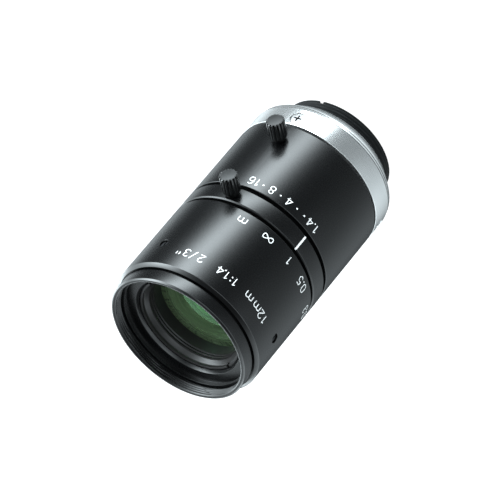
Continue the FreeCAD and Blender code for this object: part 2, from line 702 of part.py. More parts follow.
def make_iris_ring():
    blank = turned("iris_ring_blank", [
        (ring_bore, iris_rear),
        (body_radius - ring_edge, iris_rear),
        (body_radius, iris_rear + ring_edge),
        (body_radius, iris_front - ring_edge),
        (body_radius - ring_edge, iris_front),
        (ring_bore, iris_front),
    ])
    groove = block("iris_drive_groove", (drive_pin_radius + running_gap) * 2.0, ring_bore - overcut,
                   ring_bore + drive_groove_depth, pin_height - drive_pin_radius * 2.0,
                   iris_front + overcut, drive_azimuth)
    keep("iris_ring", cut("iris_ring", blank, groove, lock_hole("iris", iris_lock_height)))


def make_focus_ring():
    blank = turned("focus_ring_blank", [
        (ring_bore, focus_rear),
        (body_radius - ring_edge, focus_rear),
        (body_radius, focus_rear + ring_edge),
        (body_radius, focus_front - focus_chamfer),
        (body_radius - focus_chamfer, focus_front),
        (lip_bore, focus_front),
        (lip_bore, lip_rear),
        (ring_bore, lip_rear),
    ])
    holes = []
    screws = []
    for number, azimuth in enumerate(around(SCREW_COUNT, set_screw_azimuth), 1):
        holes.append(radial(f"set_screw_hole_{number}", set_screw_radius + seat_gap, ring_bore - overcut,
                            body_radius + overcut, set_screw_height, azimuth))
        screws.append(make_set_screw(number, azimuth))
    keep("focus_ring", cut("focus_ring", blank, *holes))
    keep("focus_set_screws", group("focus_set_screws", screws))


def make_set_screw(number, azimuth):
    name = f"set_screw_{number}"
    top = body_radius - set_screw_recess
    rod = radial(f"{name}_rod", set_screw_radius, barrel_radius + seat_gap, top, set_screw_height, azimuth)
    reach = set_screw_radius + running_gap
    slot = block(f"{name}_slot", driver_slot_width, top - driver_slot_depth, top + overcut,
                 set_screw_height - reach, set_screw_height + reach, azimuth)
    return cut(name, rod, slot)


def make_helicoid():
    shoulder = retainer_rear - face_gap
    blank = turned("helicoid_blank", [
        (sleeve_bore, sleeve_rear),
        (barrel_radius, sleeve_rear),
        (barrel_radius, sleeve_front),
        (sleeve_front_bore, sleeve_front),
        (sleeve_front_bore, shoulder),
        (sleeve_bore, shoulder),
    ])
    pin_angle = (stop_pin_radius + running_gap) / stop_ring() * math.degrees(1.0)
    groove = sector("focus_stop_groove", sleeve_bore - overcut, barrel_radius + overcut,
                    sleeve_rear - overcut, sleeve_rear + stop_pin_length + face_gap * 2.0,
                    stop_azimuth - focus_to_near - pin_angle * 2.0,
                    focus_to_near + focus_to_infinity + pin_angle * 4.0)
    keep("focus_helicoid", cut("focus_helicoid", blank, groove))
    keep("helicoid_retainer", tube("helicoid_retainer", retainer_seat + seat_gap,
                                   sleeve_front_bore - running_gap, retainer_rear, retainer_front))


def make_lens_barrel():
    blank = turned("lens_barrel_blank", [
        (chamber_radius, unit_rear),
        (unit_radius, unit_rear),
        (unit_radius, helix_rear),
        (helix_radius, helix_rear),
        (helix_radius, helix_front),
        (neck_radius, helix_front),
        (neck_radius, floor_rear),
        (retaining_bore, floor_rear),
        (retaining_bore, lens_1_front),
        (lens_1_bore, lens_1_front),
        (lens_1_bore, lens_1_seat),
        (group_bore, lens_1_seat),
        (group_bore, lens_3_seat),
        (throat_radius, lens_3_seat),
        (throat_radius, housing_front),
        (chamber_radius, housing_front),
    ])
    reach = key_radius + infinity_travel + near_travel
    slot = block("key_slot", (key_radius + running_gap) * 2.0, unit_radius - key_depth - running_gap * 2.0,
                 unit_radius + overcut, key_height - reach, key_height + reach, stop_azimuth)
    window = drive_window("unit_window", chamber_radius - overcut / 2.0, unit_radius + overcut,
                          pin_height - drive_pin_radius - running_gap,
                          pin_height + drive_pin_radius + running_gap)
    keep("lens_barrel", cut("lens_barrel", blank, slot, window))


def make_front_ring():
    thread_end = front_face - filter_depth
    relief_end = thread_end - relief_width
    keep("front_ring", turned("front_ring", [
        (neck_radius + running_gap, skirt_rear),
        (skirt_radius, skirt_rear),
        (skirt_radius, front_rear),
        (rim_radius - ring_edge, front_rear),
        (rim_radius, front_rear + ring_edge),
        (rim_radius, front_face - ring_edge),
        (rim_radius - ring_edge, front_face),
        (filter_bore + rim_chamfer, front_face),
        (filter_bore, front_face - rim_chamfer),
        (filter_bore, thread_end),
        (filter_bore + relief_depth, thread_end),
        (filter_bore + relief_depth, relief_end),
        (ledge_bore, relief_end),
        (ledge_bore, floor_front),
        (floor_hole + floor_chamfer_width, floor_front),
        (floor_hole, ring_front),
        (floor_hole, floor_rear),
        (neck_radius + running_gap, floor_rear),
    ]))


def make_front_retaining_ring():
    """Long threaded ring with a conical mouth and light-trap ridges inside."""
    cone_rear = ring_front - ring_cone_height
    face_bore = retaining_radius - ring_front_width
    corners = [
        (ridge_bore + ridge_depth, lens_1_front),
        (retaining_radius, lens_1_front),
        (retaining_radius, ring_front - ring_front_edge),
        (retaining_radius - ring_front_edge, ring_front),
        (face_bore, ring_front),
        (ridge_bore, cone_rear),
    ]
    ridges = int((cone_rear - lens_1_front).number / ridge_pitch.number)
    for number in range(ridges - 1):
        crest = cone_rear - ridge_pitch * number
        corners.append((ridge_bore + ridge_depth, crest - ridge_pitch / 2.0))
        corners.append((ridge_bore, crest - ridge_pitch))
    corners.append((ridge_bore + ridge_depth, cone_rear - ridge_pitch * (ridges - 0.5)))
    blank = turned("front_retaining_ring_blank", corners)
    slots = [block(f"spanner_slot_{number}", spanner_slot_width, ridge_bore - overcut,
                   retaining_radius + overcut, ring_front - spanner_slot_depth, ring_front + overcut, azimuth)
             for number, azimuth in enumerate(around(SLOT_COUNT, spanner_azimuth), 1)]
    keep("front_retaining_ring", cut("front_retaining_ring", blank, *slots))


def make_front_group():
    rim = group_bore - seat_gap
    spacer_bore = rim - spacer_wall
    clear = spacer_bore - seat_gap
    keep("lens_1", element("lens_1", lens_1_bore - seat_gap, lens_1_seat, lens_1_front,
                           clear, -lens_1_hollow, ridge_bore, lens_1_crown))
    keep("inner_retaining_ring", tube("inner_retaining_ring", spacer_bore, rim, lens_2_front,
                                      inner_ring_front))
    keep("lens_2", element("lens_2", rim, lens_2_rear, lens_2_front, clear, -lens_2_rear_hollow,
                           clear, -lens_2_front_hollow))
    keep("front_spacer", tube("front_spacer", spacer_bore, rim, lens_3_front, lens_2_rear))
    keep("lens_3", element("lens_3", rim, lens_3_seat, lens_3_front, throat_radius - running_gap,
                           lens_3_rear_crown, clear, lens_3_front_crown))


def make_rear_group():
    cell_thread_rear = cell_front - cell_thread_length
    keep("rear_cell", turned("rear_cell", [
        (cell_bore, cell_rear),
        (cell_radius, cell_rear),
        (cell_radius, cell_thread_rear),
        (housing_radius, cell_thread_rear),
        (housing_radius, cell_front),
        (cell_throat, cell_front),
        (cell_throat, lens_4_seat),
        (cell_bore, lens_4_seat),
    ]))
    rim = cell_bore - seat_gap
    spacer_bore = rim - spacer_wall
    clear = spacer_bore - seat_gap
    keep("lens_4", element("lens_4", rim, lens_4_rear, lens_4_seat, clear, cement_crown,
                           cell_throat - running_gap, lens_4_crown))
    keep("lens_5", element("lens_5", rim, lens_5_rear, lens_5_front, clear, -lens_5_hollow,
                           clear, -cement_crown))
    keep("rear_spacer_1", tube("rear_spacer_1", spacer_bore, rim, lens_6_front, lens_5_rear))
    keep("lens_6", element("lens_6", rim, lens_6_rear, lens_6_front, clear, lens_6_crown,
                           clear, lens_6_crown))
    keep("rear_spacer_2", tube("rear_spacer_2", spacer_bore, rim, lens_7_front, lens_6_rear))
    keep("lens_7", element("lens_7", rim, lens_7_rear, lens_7_front, clear, lens_7_rear_crown,
                           clear, lens_7_front_crown))
    keep("rear_retaining_ring", tube("rear_retaining_ring", spacer_bore, rim, rear_ring_rear, lens_7_rear))


def make_iris_housing():
    blank = turned("iris_housing_blank", [
        (housing_bore, cell_front),
        (housing_radius, cell_front),
        (housing_radius, housing_front),
        (iris_bore, housing_front),
        (iris_bore, stack_front),
        (housing_bore, stack_front),
    ])
    window = drive_window("housing_window", housing_bore - overcut / 2.0, housing_radius + overcut,
                          pin_height - drive_pin_radius - running_gap,
                          pin_height + drive_pin_radius + running_gap)
    holes = [axial(f"pivot_hole_{number}", pivot_radius + running_gap, pivot_circle, azimuth,
                   stack_front - overcut, housing_front + overcut)
             for number, azimuth in enumerate(blade_azimuths(), 1)]
    keep("iris_housing", cut("iris_housing", blank, window, *holes))


def blade_azimuths():
    return around(BLADE_COUNT, drive_azimuth + FULL_TURN / BLADE_COUNT * 0.5 - blade_slot_middle())


def blade_swing():
    """Angle through which a blade swings to close the aperture to its smallest radius."""
    reach = blade_open_radius.number - blade_closed_radius.number
    return math.degrees(2.0 * math.asin(reach / (2.0 * pivot_circle.number)))


def cam_pin_place(turn):
    """Cam pin on the cam plate, as x and y from a pivot's azimuth, with the ring turned so far.

    The blades close clockwise, so both the lever and the cam plate turn by minus the angle.
    """
    swing = blade_swing() * turn / iris_turn.number
    lever = math.radians(-(lever_angle.number + swing))
    x = pivot_circle.number + lever_length.number * math.cos(lever)
    y = lever_length.number * math.sin(lever)
    back = math.radians(turn)
    return (x * math.cos(back) - y * math.sin(back), x * math.sin(back) + y * math.cos(back))


def blade_slot_middle():
    """Azimuth of a cam slot's middle, from its blade's pivot."""
    x, y = cam_pin_place(iris_turn.number / 2.0)
    return math.degrees(math.atan2(y, x))


def cam_slot(azimuth):
    """Cam slot as a round-ended groove along the cam pin's path, from one pivot's azimuth."""
    turns = (-cam_margin.number, iris_turn.number / 2.0, iris_turn.number + cam_margin.number)
    low = rotor_rear.number - overcut.number
    path = [FreeCAD.Vector(*cam_pin_place(turn), low) for turn in turns]
    centre = Part.Arc(*path).toShape().Curve.Center
    half = cam_pin_radius.number + running_gap.number
    up = FreeCAD.Vector(0, 0, 1)
    height = FreeCAD.Vector(0, 0, rotor_thickness.number + overcut.number * 2.0)
    outward = [(point - centre).normalize() * half for point in path]
    outer = [point + step for point, step in zip(path, outward)]
    inner = [point - step for point, step in zip(path, outward)]
    first_cap = path[0] - up.cross(outward[0])
    last_cap = path[2] + up.cross(outward[2])
    edges = [
        Part.Arc(*outer).toShape(),
        Part.Arc(outer[2], last_cap, inner[2]).toShape(),
        Part.Arc(*reversed(inner)).toShape(),
        Part.Arc(inner[0], first_cap, outer[0]).toShape(),
    ]
    slot = Part.Face(Part.Wire(edges)).extrude(height)
    slot.rotate(FreeCAD.Vector(0, 0, 0), up, direction(azimuth).number)
    return slot


def make_iris_rotor():
    blank = tube("iris_rotor_blank", iris_bore, rotor_radius, rotor_rear, rotor_front)
    slots = []
    for number, azimuth in enumerate(blade_azimuths(), 1):
        slot = add("Part::Feature", f"cam_slot_{number}")
        slot.Shape = cam_slot(azimuth)
        slots.append(slot)
    bite = rotor_radius - drive_pin_bite
    hole = radial("drive_pin_hole", drive_pin_radius + seat_gap, bite - seat_gap, rotor_radius + overcut,
                  pin_height, drive_azimuth)
    keep("iris_rotor", cut("iris_rotor", blank, hole, *slots))
    keep("iris_drive_pin", radial("iris_drive_pin", drive_pin_radius, bite,
                                  ring_bore + drive_groove_depth - running_gap * 2.0, pin_height,
                                  drive_azimuth))


def make_blade(number, azimuth):
    """One blade: an arc, a lug with the two pins, and its own place in the stack."""
    label = f"iris_blade_{number}"
    low = stack_rear + blade_pitch * (number - 1)
    high = low + blade_thickness
    arc = sector(f"{label}_arc", blade_open_radius, blade_outer_radius, low, high,
                 azimuth - blade_after, blade_after + blade_before)
    pivot_lug = axial(f"{label}_pivot_lug", pivot_radius + lug_margin, pivot_circle, azimuth, low, high)
    bridge = block(f"{label}_bridge", (pivot_radius + lug_margin) * 2.0,
                   blade_outer_radius - blade_width / 4.0, pivot_circle, low, high, azimuth)
    pivot_pin = axial(f"{label}_pivot_pin", pivot_radius, pivot_circle, azimuth, low,
                      housing_front - face_gap)
    angle = direction(azimuth)
    lever = angle - lever_angle
    x = pivot_circle * cosine(angle) + lever_length * cosine(lever)
    y = pivot_circle * sine(angle) + lever_length * sine(lever)
    cam_lug = add("Part::Cylinder", f"{label}_cam_lug")
    bind(cam_lug, Radius=cam_pin_radius + lug_margin, Height=blade_thickness)
    place(cam_lug, x, y, low)
    cam_pin = add("Part::Cylinder", f"{label}_cam_pin")
    pin_end = rotor_rear + rotor_thickness / 2.0
    bind(cam_pin, Radius=cam_pin_radius, Height=high - pin_end)
    place(cam_pin, x, y, pin_end)
    bar = add("Part::Box", f"{label}_lever")
    half = cam_pin_radius + lug_margin
    bind(bar, Length=lever_length, Width=half * 2.0, Height=blade_thickness)
    place(bar, pivot_circle * cosine(angle) + half * sine(lever),
          pivot_circle * sine(angle) - half * cosine(lever), low, (ABOUT_Z, lever))
    keep(label, fuse(label, arc, pivot_lug, bridge, pivot_pin, cam_lug, cam_pin, bar))


def make_iris():
    make_iris_housing()
    make_iris_rotor()
    for number, azimuth in enumerate(blade_azimuths(), 1):
        make_blade(number, azimuth)


def check_document():
    """Stop if any object failed or any piece is not a valid solid."""
    for thing in DOC.Objects:
        if "Invalid" in thing.State or "Error" in thing.State:
            raise RuntimeError(f"{thing.Label} did not compute: {thing.State}")
    for label, piece in PIECES.items():
        shape = piece.Shape
        if shape.isNull() or not shape.isValid() or not shape.Solids:
            raise RuntimeError(f"{label} is not a valid solid")


def write_pieces():
    os.makedirs("parts", exist_ok=True)
    for label, piece in PIECES.items():
        piece.Shape.exportStep(f"parts/{label}.step")
        box = piece.Shape.BoundBox
        print(f"{label}: {len(piece.Shape.Solids)} solid, volume {piece.Shape.Volume:.2f},"
              f" z {box.ZMin:.2f} to {box.ZMax:.2f}")


def main():
    make_mount()
    make_mount_thread()
    make_main_barrel()
    make_index_ring()
    make_lock_screw("focus", focus_lock_height)
    make_iris_ring()
    make_lock_screw("iris", iris_lock_height)
    make_focus_ring()
    make_helicoid()
    make_lens_barrel()
    make_front_ring()
    make_front_retaining_ring()
    make_front_group()
    make_rear_group()
    make_iris()
    DOC.recompute()
    check_document()
    write_pieces()


main()
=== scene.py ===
"""Surfaces, dial marks, studio light and camera for the machine vision camera lens.

The optical axis is +Z, towards the front of the lens, and the mount flange is at z = 0.  The
index line faces -Y, and azimuths are counted from it in degrees, anticlockwise as seen from
the front.  Shapes are worked out in millimetres and stored in metres.
"""
import bpy
import bmesh
import math
from mathutils import Matrix, Vector


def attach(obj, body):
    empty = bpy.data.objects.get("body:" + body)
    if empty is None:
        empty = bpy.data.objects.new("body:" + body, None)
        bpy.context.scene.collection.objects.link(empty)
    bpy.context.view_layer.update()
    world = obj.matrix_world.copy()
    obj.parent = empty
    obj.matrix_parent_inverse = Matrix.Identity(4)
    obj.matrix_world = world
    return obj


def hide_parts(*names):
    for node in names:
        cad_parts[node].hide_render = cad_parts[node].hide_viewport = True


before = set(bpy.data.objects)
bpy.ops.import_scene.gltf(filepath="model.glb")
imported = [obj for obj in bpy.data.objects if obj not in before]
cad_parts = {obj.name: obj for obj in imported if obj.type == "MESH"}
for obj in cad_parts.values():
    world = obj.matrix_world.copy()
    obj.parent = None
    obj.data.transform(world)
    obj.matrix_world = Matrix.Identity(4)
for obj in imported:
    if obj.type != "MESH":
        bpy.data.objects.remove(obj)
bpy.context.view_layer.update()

MM = 0.001
TURN = 2.0 * math.pi
SCENE = bpy.context.scene

# Radii
BODY = 16.75                    # barrel
BORE = 15.15                    # inside of the three rings
FRONT_RADIUS = 15.75            # front ring
FILTER_WALL = 14.73             # wall that carries the filter thread
MOUNT_WALL = 12.7               # wall that carries the mount thread

# Heights
THREAD_REAR = -3.7
V_GROOVES = (3.20, 3.85)        # fine grooves in the mount's shoulder
SHELL_FRONT = 8.65
IRIS_REAR, IRIS_FRONT = 9.15, 28.05
INDEX_REAR, INDEX_FRONT = 28.95, 32.90
FOCUS_REAR, FOCUS_CORNER = 33.75, 53.30
GLASS_SEAT = 47.1               # front of the front element's rim
FILTER_FLOOR = 55.2
RIM = 57.3

# Places of the screws and slots
LOCK_AZIMUTH = 60.0             # both thumb screws
IRIS_LOCK_HEIGHT = 13.4
FOCUS_LOCK_HEIGHT = 30.925
MOUNT_SCREW_AZIMUTHS = (60.0, 180.0, 300.0)
MOUNT_SCREW_HEIGHT = 6.5
SET_SCREW_AZIMUTHS = (81.5, 201.5, 321.5)
SET_SCREW_HEIGHT = 47.4
DRIVE_AZIMUTH = 200.0           # groove for the iris drive pin
SPANNER_AZIMUTHS = (100.0, 280.0)
NOTCH_AZIMUTHS = (65.0, 245.0)

# Small forms
CHAMFER = 0.12                  # edges of the rings
INDEX_CHAMFER = 0.24            # front edge of the index ring
HOLE_CHAMFER = 0.06             # mouth of a hole in the barrel
HOLE_CONE = 0.15                # height of the cone that cuts that mouth
OVERCUT = 1.0                   # how far a cutter stands past what it cuts
CUT_END = BODY + OVERCUT
SLOT_END = 17.4                 # outer end of the cutters for the screws' slots
ON_WALL = 1e-4                  # how near a wall its rows lie


# Mesh helpers

def heading(azimuth):
    """Angle from +X of an azimuth counted from the index line."""
    return math.radians(azimuth - 90.0)


def outwards(azimuth):
    """Direction from the axis at an azimuth."""
    angle = heading(azimuth)
    return Vector((math.cos(angle), math.sin(angle), 0.0))


def soften(corners, radius=0.06):
    """Round the corners of a closed profile; a corner's third number is its own radius."""
    steps = 3
    largest_share = 0.45
    rounded = []
    for number, corner in enumerate(corners):
        point = Vector(corner[:2])
        reach = corner[2] if len(corner) > 2 else radius
        before = Vector(corners[number - 1][:2]) - point
        after = Vector(corners[(number + 1) % len(corners)][:2]) - point
        reach = min(reach, before.length * largest_share, after.length * largest_share)
        if reach <= 0.0:
            rounded.append(tuple(point))
            continue
        start = point + before.normalized() * reach
        end = point + after.normalized() * reach
        for step in range(steps + 1):
            t = step / steps
            rounded.append(tuple(start * (1 - t) ** 2 + point * 2 * t * (1 - t) + end * t ** 2))
    return rounded


def divide(rows, radius, low, high, step):
    """Add rows along the straight stretch of a profile that carries a thread."""
    divided = []
    for number, (r, z) in enumerate(rows):
        divided.append((r, z))
        r_next, z_next = rows[(number + 1) % len(rows)]
        on_wall = abs(r - radius) < ON_WALL and abs(r_next - radius) < ON_WALL
        if on_wall and min(z, z_next) < (low + high) / 2 < max(z, z_next):
            count = int(abs(z_next - z) / step)
            divided += [(r, z + (z_next - z) * i / count) for i in range(1, count)]
    return divided


def thread(radius, low, high, pitch, depth, fade):
    """Shape of a screw thread on the wall of that radius; a negative depth cuts inwards."""
    flank = 1.3

    def shape(r, z, angle):
        if abs(r - radius) > ON_WALL or not low <= z <= high:
            return r, z
        phase = (z / pitch - angle / TURN) % 1.0
        ridge = min(1.0, max(0.0, 0.5 + (abs(2.0 * phase - 1.0) - 0.5) * flank))
        blend = max(0.0, min(1.0, (z - low) / fade, (high - z) / fade))
        return r + depth * blend * ridge, z
    return shape


def lathe(rows, segments=192, shape=None):
    """Turn a profile of (radius, height) about +Z.

    A radius of 0 is a pole.  A profile that starts at one stays open, any other is closed.
    """
    vertices, faces, rings = [], [], []
    for r, z in rows:
        if r <= 0.0:
            rings.append([len(vertices)])
            vertices.append((0.0, 0.0, z))
            continue
        rings.append(list(range(len(vertices), len(vertices) + segments)))
        for column in range(segments):
            angle = TURN * column / segments
            radius, height = shape(r, z, angle) if shape else (r, z)
            vertices.append((radius * math.cos(angle), radius * math.sin(angle), height))
    pairs = list(zip(rings, rings[1:]))
    if len(rings[0]) > 1:
        pairs.append((rings[-1], rings[0]))
    for low, high in pairs:
        for column in range(segments):
            after = (column + 1) % segments
            if len(low) == 1:
                faces.append((low[0], high[column], high[after]))
            elif len(high) == 1:
                faces.append((low[column], low[after], high[0]))
            else:
                faces.append((low[column], low[after], high[after], high[column]))
    return vertices, faces


def block(x_span, y_span, z_span):
    """A cutter with flat sides."""
    vertices = [(x, y, z) for z in z_span for y in y_span for x in x_span]
    faces = [(0, 2, 3, 1), (4, 5, 7, 6), (0, 1, 5, 4), (2, 6, 7, 3), (0, 4, 6, 2), (1, 3, 7, 5)]
    return vertices, faces


def centred(width):
    """The span of a width round 0."""
    return -width / 2, width / 2


def hole(radius, floor=BORE - OVERCUT, segments=48):
    """Cutter for a round hole on a radius, with a small chamfer at the barrel's surface."""
    mouth = BODY - HOLE_CHAMFER
    wide = radius + HOLE_CONE
    return lathe([(0.0, floor), (radius, floor), (radius, mouth), (wide, mouth + HOLE_CONE),
                  (wide, CUT_END), (0.0, CUT_END)], segments)


def outward(shape, azimuth, height):
    """Put a shape on a radius: x runs with the azimuth, y along the axis and z outwards."""
    out = outwards(azimuth)
    along = Vector((-out.y, out.x, 0.0))
    vertices, faces = shape
    placed = [along * x + out * z + Vector((0.0, 0.0, height + y)) for x, y, z in vertices]
    return [tuple(point) for point in placed], faces


def swung(shape, azimuth):
    """Turn a shape that is built at +X to an azimuth."""
    turn = Matrix.Rotation(heading(azimuth), 4, "Z")
    vertices, faces = shape
    return [tuple(turn @ Vector(point)) for point in vertices], faces


def joined(*shapes):
    """Several shapes as one."""
    vertices, faces = [], []
    for more_vertices, more_faces in shapes:
        start = len(vertices)
        vertices += more_vertices
        faces += [tuple(start + corner for corner in face) for face in more_faces]
    return vertices, faces


def make_object(name, shape):
    """An object in metres from a shape in millimetres, with its faces turned outwards."""
    vertices, faces = shape
    mesh = bpy.data.meshes.new(name)
    mesh.from_pydata([(x * MM, y * MM, z * MM) for x, y, z in vertices], [], faces)
    work = bmesh.new()
    work.from_mesh(mesh)
    bmesh.ops.recalc_face_normals(work, faces=work.faces)
    work.to_mesh(mesh)
    work.free()
    thing = bpy.data.objects.new(name, mesh)
    SCENE.collection.objects.link(thing)
    return thing


def carve(thing, cutters):
    """Cut shapes out of an object for good."""
    tools = [make_object(f"{thing.name}_cutter_{number}", shape)
             for number, shape in enumerate(cutters)]
    for tool in tools:
        modifier = thing.modifiers.new("cut", "BOOLEAN")
        modifier.operation = "DIFFERENCE"
        modifier.solver = "EXACT"
        modifier.object = tool
    bpy.context.view_layer.update()
    evaluated = thing.evaluated_get(bpy.context.evaluated_depsgraph_get())
    mesh = bpy.data.meshes.new_from_object(evaluated)
    old = thing.data
    thing.modifiers.clear()
    thing.data = mesh
    mesh.name = thing.name
    bpy.data.meshes.remove(old)
    for tool in tools:
        bpy.data.meshes.remove(tool.data)


def piece(name, shape, body, material, replaces=(), cutters=(), crease=32.0):
    """Make a piece, cut its openings and let it ride on its body."""
    thing = make_object(name, shape)
    if cutters:
        carve(thing, cutters)
    thing.data.shade_smooth()
    thing.data.set_sharp_from_angle(angle=math.radians(crease))
    thing.data.materials.clear()
    thing.data.materials.append(material)
    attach(thing, body)
    if replaces:
        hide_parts(*replaces)
    return thing


def finish_faces(thing, material, chosen):
    """Give a second finish to the faces whose middle, in millimetres, is chosen."""
    thing.data.materials.append(material)
    last = len(thing.data.materials) - 1
    for polygon in thing.data.polygons:
        if chosen(polygon.center / MM):
            polygon.material_index = last


# Materials

def new_material(name):
    """An empty material with its node tree and shader."""
    made = bpy.data.materials.new(name)
    made.use_nodes = True
    tree = made.node_tree
    return made, tree, tree.nodes["Principled BSDF"]


def noise_node(tree, source, scale, detail):
    """Noise over the coordinates of a socket."""
    noise = tree.nodes.new("ShaderNodeTexNoise")
    noise.inputs["Scale"].default_value = scale
    noise.inputs["Detail"].default_value = detail
    tree.links.new(source, noise.inputs["Vector"])
    return noise


def colour_ramp(tree, source, shader, low, high):
    """Two colours of the base, mixed by a socket."""
    ramp = tree.nodes.new("ShaderNodeValToRGB")
    ramp.color_ramp.elements[0].color = list(low) + [1.0]
    ramp.color_ramp.elements[1].color = list(high) + [1.0]
    tree.links.new(source, ramp.inputs["Fac"])
    tree.links.new(ramp.outputs["Color"], shader.inputs["Base Color"])
    return ramp


def lathe_marks(tree, coordinates, fine, share):
    """Blend the grain with noise that is the same all round the axis."""
    marks_scale = 7000.0
    nodes, links = tree.nodes, tree.links
    apart = nodes.new("ShaderNodeSeparateXYZ")
    flat = nodes.new("ShaderNodeCombineXYZ")
    reach = nodes.new("ShaderNodeVectorMath")
    reach.operation = "LENGTH"
    path = nodes.new("ShaderNodeCombineXYZ")
    links.new(coordinates, apart.inputs[0])
    links.new(apart.outputs["X"], flat.inputs["X"])
    links.new(apart.outputs["Y"], flat.inputs["Y"])
    links.new(flat.outputs[0], reach.inputs[0])
    links.new(reach.outputs["Value"], path.inputs["X"])
    links.new(apart.outputs["Z"], path.inputs["Y"])
    marks = noise_node(tree, path.outputs[0], marks_scale, detail=2.0)
    blend = nodes.new("ShaderNodeMix")
    blend.inputs["Factor"].default_value = share
    links.new(fine, blend.inputs["A"])
    links.new(marks.outputs["Fac"], blend.inputs["B"])
    return blend.outputs["Result"]


def surface(name, colour, rough, metallic=0.0, specular=0.5, grain=9000.0, shift=0.12,
            rough_shift=0.03, bump=0.05, turned=0.0, painted_emission=None):
    """A finish with fine grain.

    Its colour and roughness vary by the two shifts.  Turned is the share of a lathe tool's
    marks in the grain, and the last argument gives painted light: an emission colour that
    lights the surface though it is no lamp.
    """
    grain_low, grain_high = 0.3, 0.7
    grain_depth = 0.02 * MM
    made, tree, shader = new_material(name)
    nodes, links = tree.nodes, tree.links
    coordinates = nodes.new("ShaderNodeTexCoord").outputs["Object"]
    noise = noise_node(tree, coordinates, grain, detail=3.0)
    noise.inputs["Roughness"].default_value = 0.6
    fine = noise.outputs["Fac"]
    if turned:
        fine = lathe_marks(tree, coordinates, fine, turned)
    ramp = colour_ramp(tree, fine, shader, [part * (1.0 - shift) for part in colour],
                       [min(1.0, part * (1.0 + shift)) for part in colour])
    ramp.color_ramp.elements[0].position = grain_low
    ramp.color_ramp.elements[1].position = grain_high
    spread = nodes.new("ShaderNodeMapRange")
    spread.inputs["From Min"].default_value = grain_low
    spread.inputs["From Max"].default_value = grain_high
    spread.inputs["To Min"].default_value = rough - rough_shift
    spread.inputs["To Max"].default_value = rough + rough_shift
    links.new(fine, spread.inputs["Value"])
    links.new(spread.outputs["Result"], shader.inputs["Roughness"])
    relief = nodes.new("ShaderNodeBump")
    relief.inputs["Strength"].default_value = bump
    relief.inputs["Distance"].default_value = grain_depth
    links.new(fine, relief.inputs["Height"])
    links.new(relief.outputs["Normal"], shader.inputs["Normal"])
    if painted_emission:
        shader.inputs["Emission Color"].default_value = tuple(painted_emission) + (1.0,)
        shader.inputs["Emission Strength"].default_value = 1.0
    shader.inputs["Metallic"].default_value = metallic
    shader.inputs["IOR"].default_value = 1.5
    shader.inputs["Specular IOR Level"].default_value = specular
    return made


def glass(name, tint, ior, specular, reflect, clear=1.0):
    """Coated optical glass: clear, with a coloured reflection and the faintest dust; any share
    not clear is a painted sheen.
    """
    dust_scale = 900.0
    dust_dimming = 0.97
    made, tree, shader = new_material(name)
    coordinates = tree.nodes.new("ShaderNodeTexCoord").outputs["Object"]
    dust = noise_node(tree, coordinates, dust_scale, detail=4.0)
    colour_ramp(tree, dust.outputs["Fac"], shader, [part * dust_dimming for part in tint], tint)
    shader.inputs["Roughness"].default_value = 0.012
    shader.inputs["Transmission Weight"].default_value = clear
    shader.inputs["IOR"].default_value = ior
    shader.inputs["Specular IOR Level"].default_value = specular
    shader.inputs["Specular Tint"].default_value = tuple(reflect) + (1.0,)
    return made


RING = surface("satin_black_anodised", (0.0012, 0.0013, 0.0015), 0.27, grain=11000.0, bump=0.06)
INNER = surface("turned_matt_black", (0.004, 0.0042, 0.0045), 0.42, turned=0.8, bump=0.25)
FRONT_INNER = surface("front_turned_black", (0.018, 0.0168, 0.0168), 0.32, specular=0.36,
                      turned=0.85, bump=0.3)
EDGE = surface("worn_ring_edge", (0.0007, 0.0007, 0.0008), 0.20, specular=0.75, grain=11000.0)
KNOB = surface("knob_black", (0.004, 0.0042, 0.0045), 0.18, grain=14000.0, bump=0.06)
KNOB_FACE = surface("knob_turned_face", (0.008, 0.0083, 0.0086), 0.34, grain=14000.0,
                    turned=0.2, bump=0.08)
# Painted shade: a near-black finish for flute valleys, slots and hole walls, where shade falls.
HOLLOW_PAINTED_SHADE = surface("hollow_painted_shade", (0.0006, 0.0006, 0.0006), 0.5, specular=0.15,
                      grain=14000.0, bump=0.04)
SILVER = surface("satin_chrome", (0.84, 0.85, 0.85), 0.21, metallic=0.88, grain=14000.0,
                 shift=0.03, rough_shift=0.02, turned=0.12, bump=0.04)
STEEL = surface("screw_steel", (0.60, 0.60, 0.60), 0.27, metallic=1.0, shift=0.06, bump=0.06)
BLACK_STEEL = surface("blackened_steel", (0.035, 0.036, 0.038), 0.38, metallic=0.6, bump=0.08)
THREAD = surface("thread_black", (0.008, 0.0085, 0.009), 0.5, specular=0.12, turned=0.5,
                 bump=0.08)
BRASS = surface("blackened_brass", (0.006, 0.005, 0.004), 0.40, metallic=0.3, turned=0.7,
                bump=0.15)
PAINT = surface("white_enamel", (0.90, 0.90, 0.895), 0.5, specular=0.3, grain=16000.0,
                shift=0.03, bump=0.03)
# Painted sheen: the share that is not clear shows the green tint as a diffuse veil, standing in
# for reflections inside the lens.
FRONT_GLASS = glass("coated_front_glass", (0.44, 0.75, 0.37), 1.62, 0.30, (0.12, 1.0, 0.25),
                    clear=0.945)
INNER_GLASS = glass("coated_inner_glass", (0.97, 0.99, 0.94), 1.60, 0.4, (0.10, 1.0, 0.20))
# Painted shade: a dark finish for groove and slot faces, where shade falls.
RECESS_PAINTED_SHADE = surface("recess_painted_shade", (0.02, 0.019, 0.018), 0.5, specular=0.12, grain=14000.0)
# The ground edge of the front element: its green edge paint, made paler to stand in for light,
# and painted light, an emission that brightens the edge zone of the glass where shade falls.
GROUND_EDGE_AND_PAINTED_LIGHT = surface("ground_edge_and_painted_light", (0.10, 0.14, 0.09), 0.5, specular=0.3, grain=6000.0,
                     shift=0.1, painted_emission=(0.044, 0.053, 0.041))

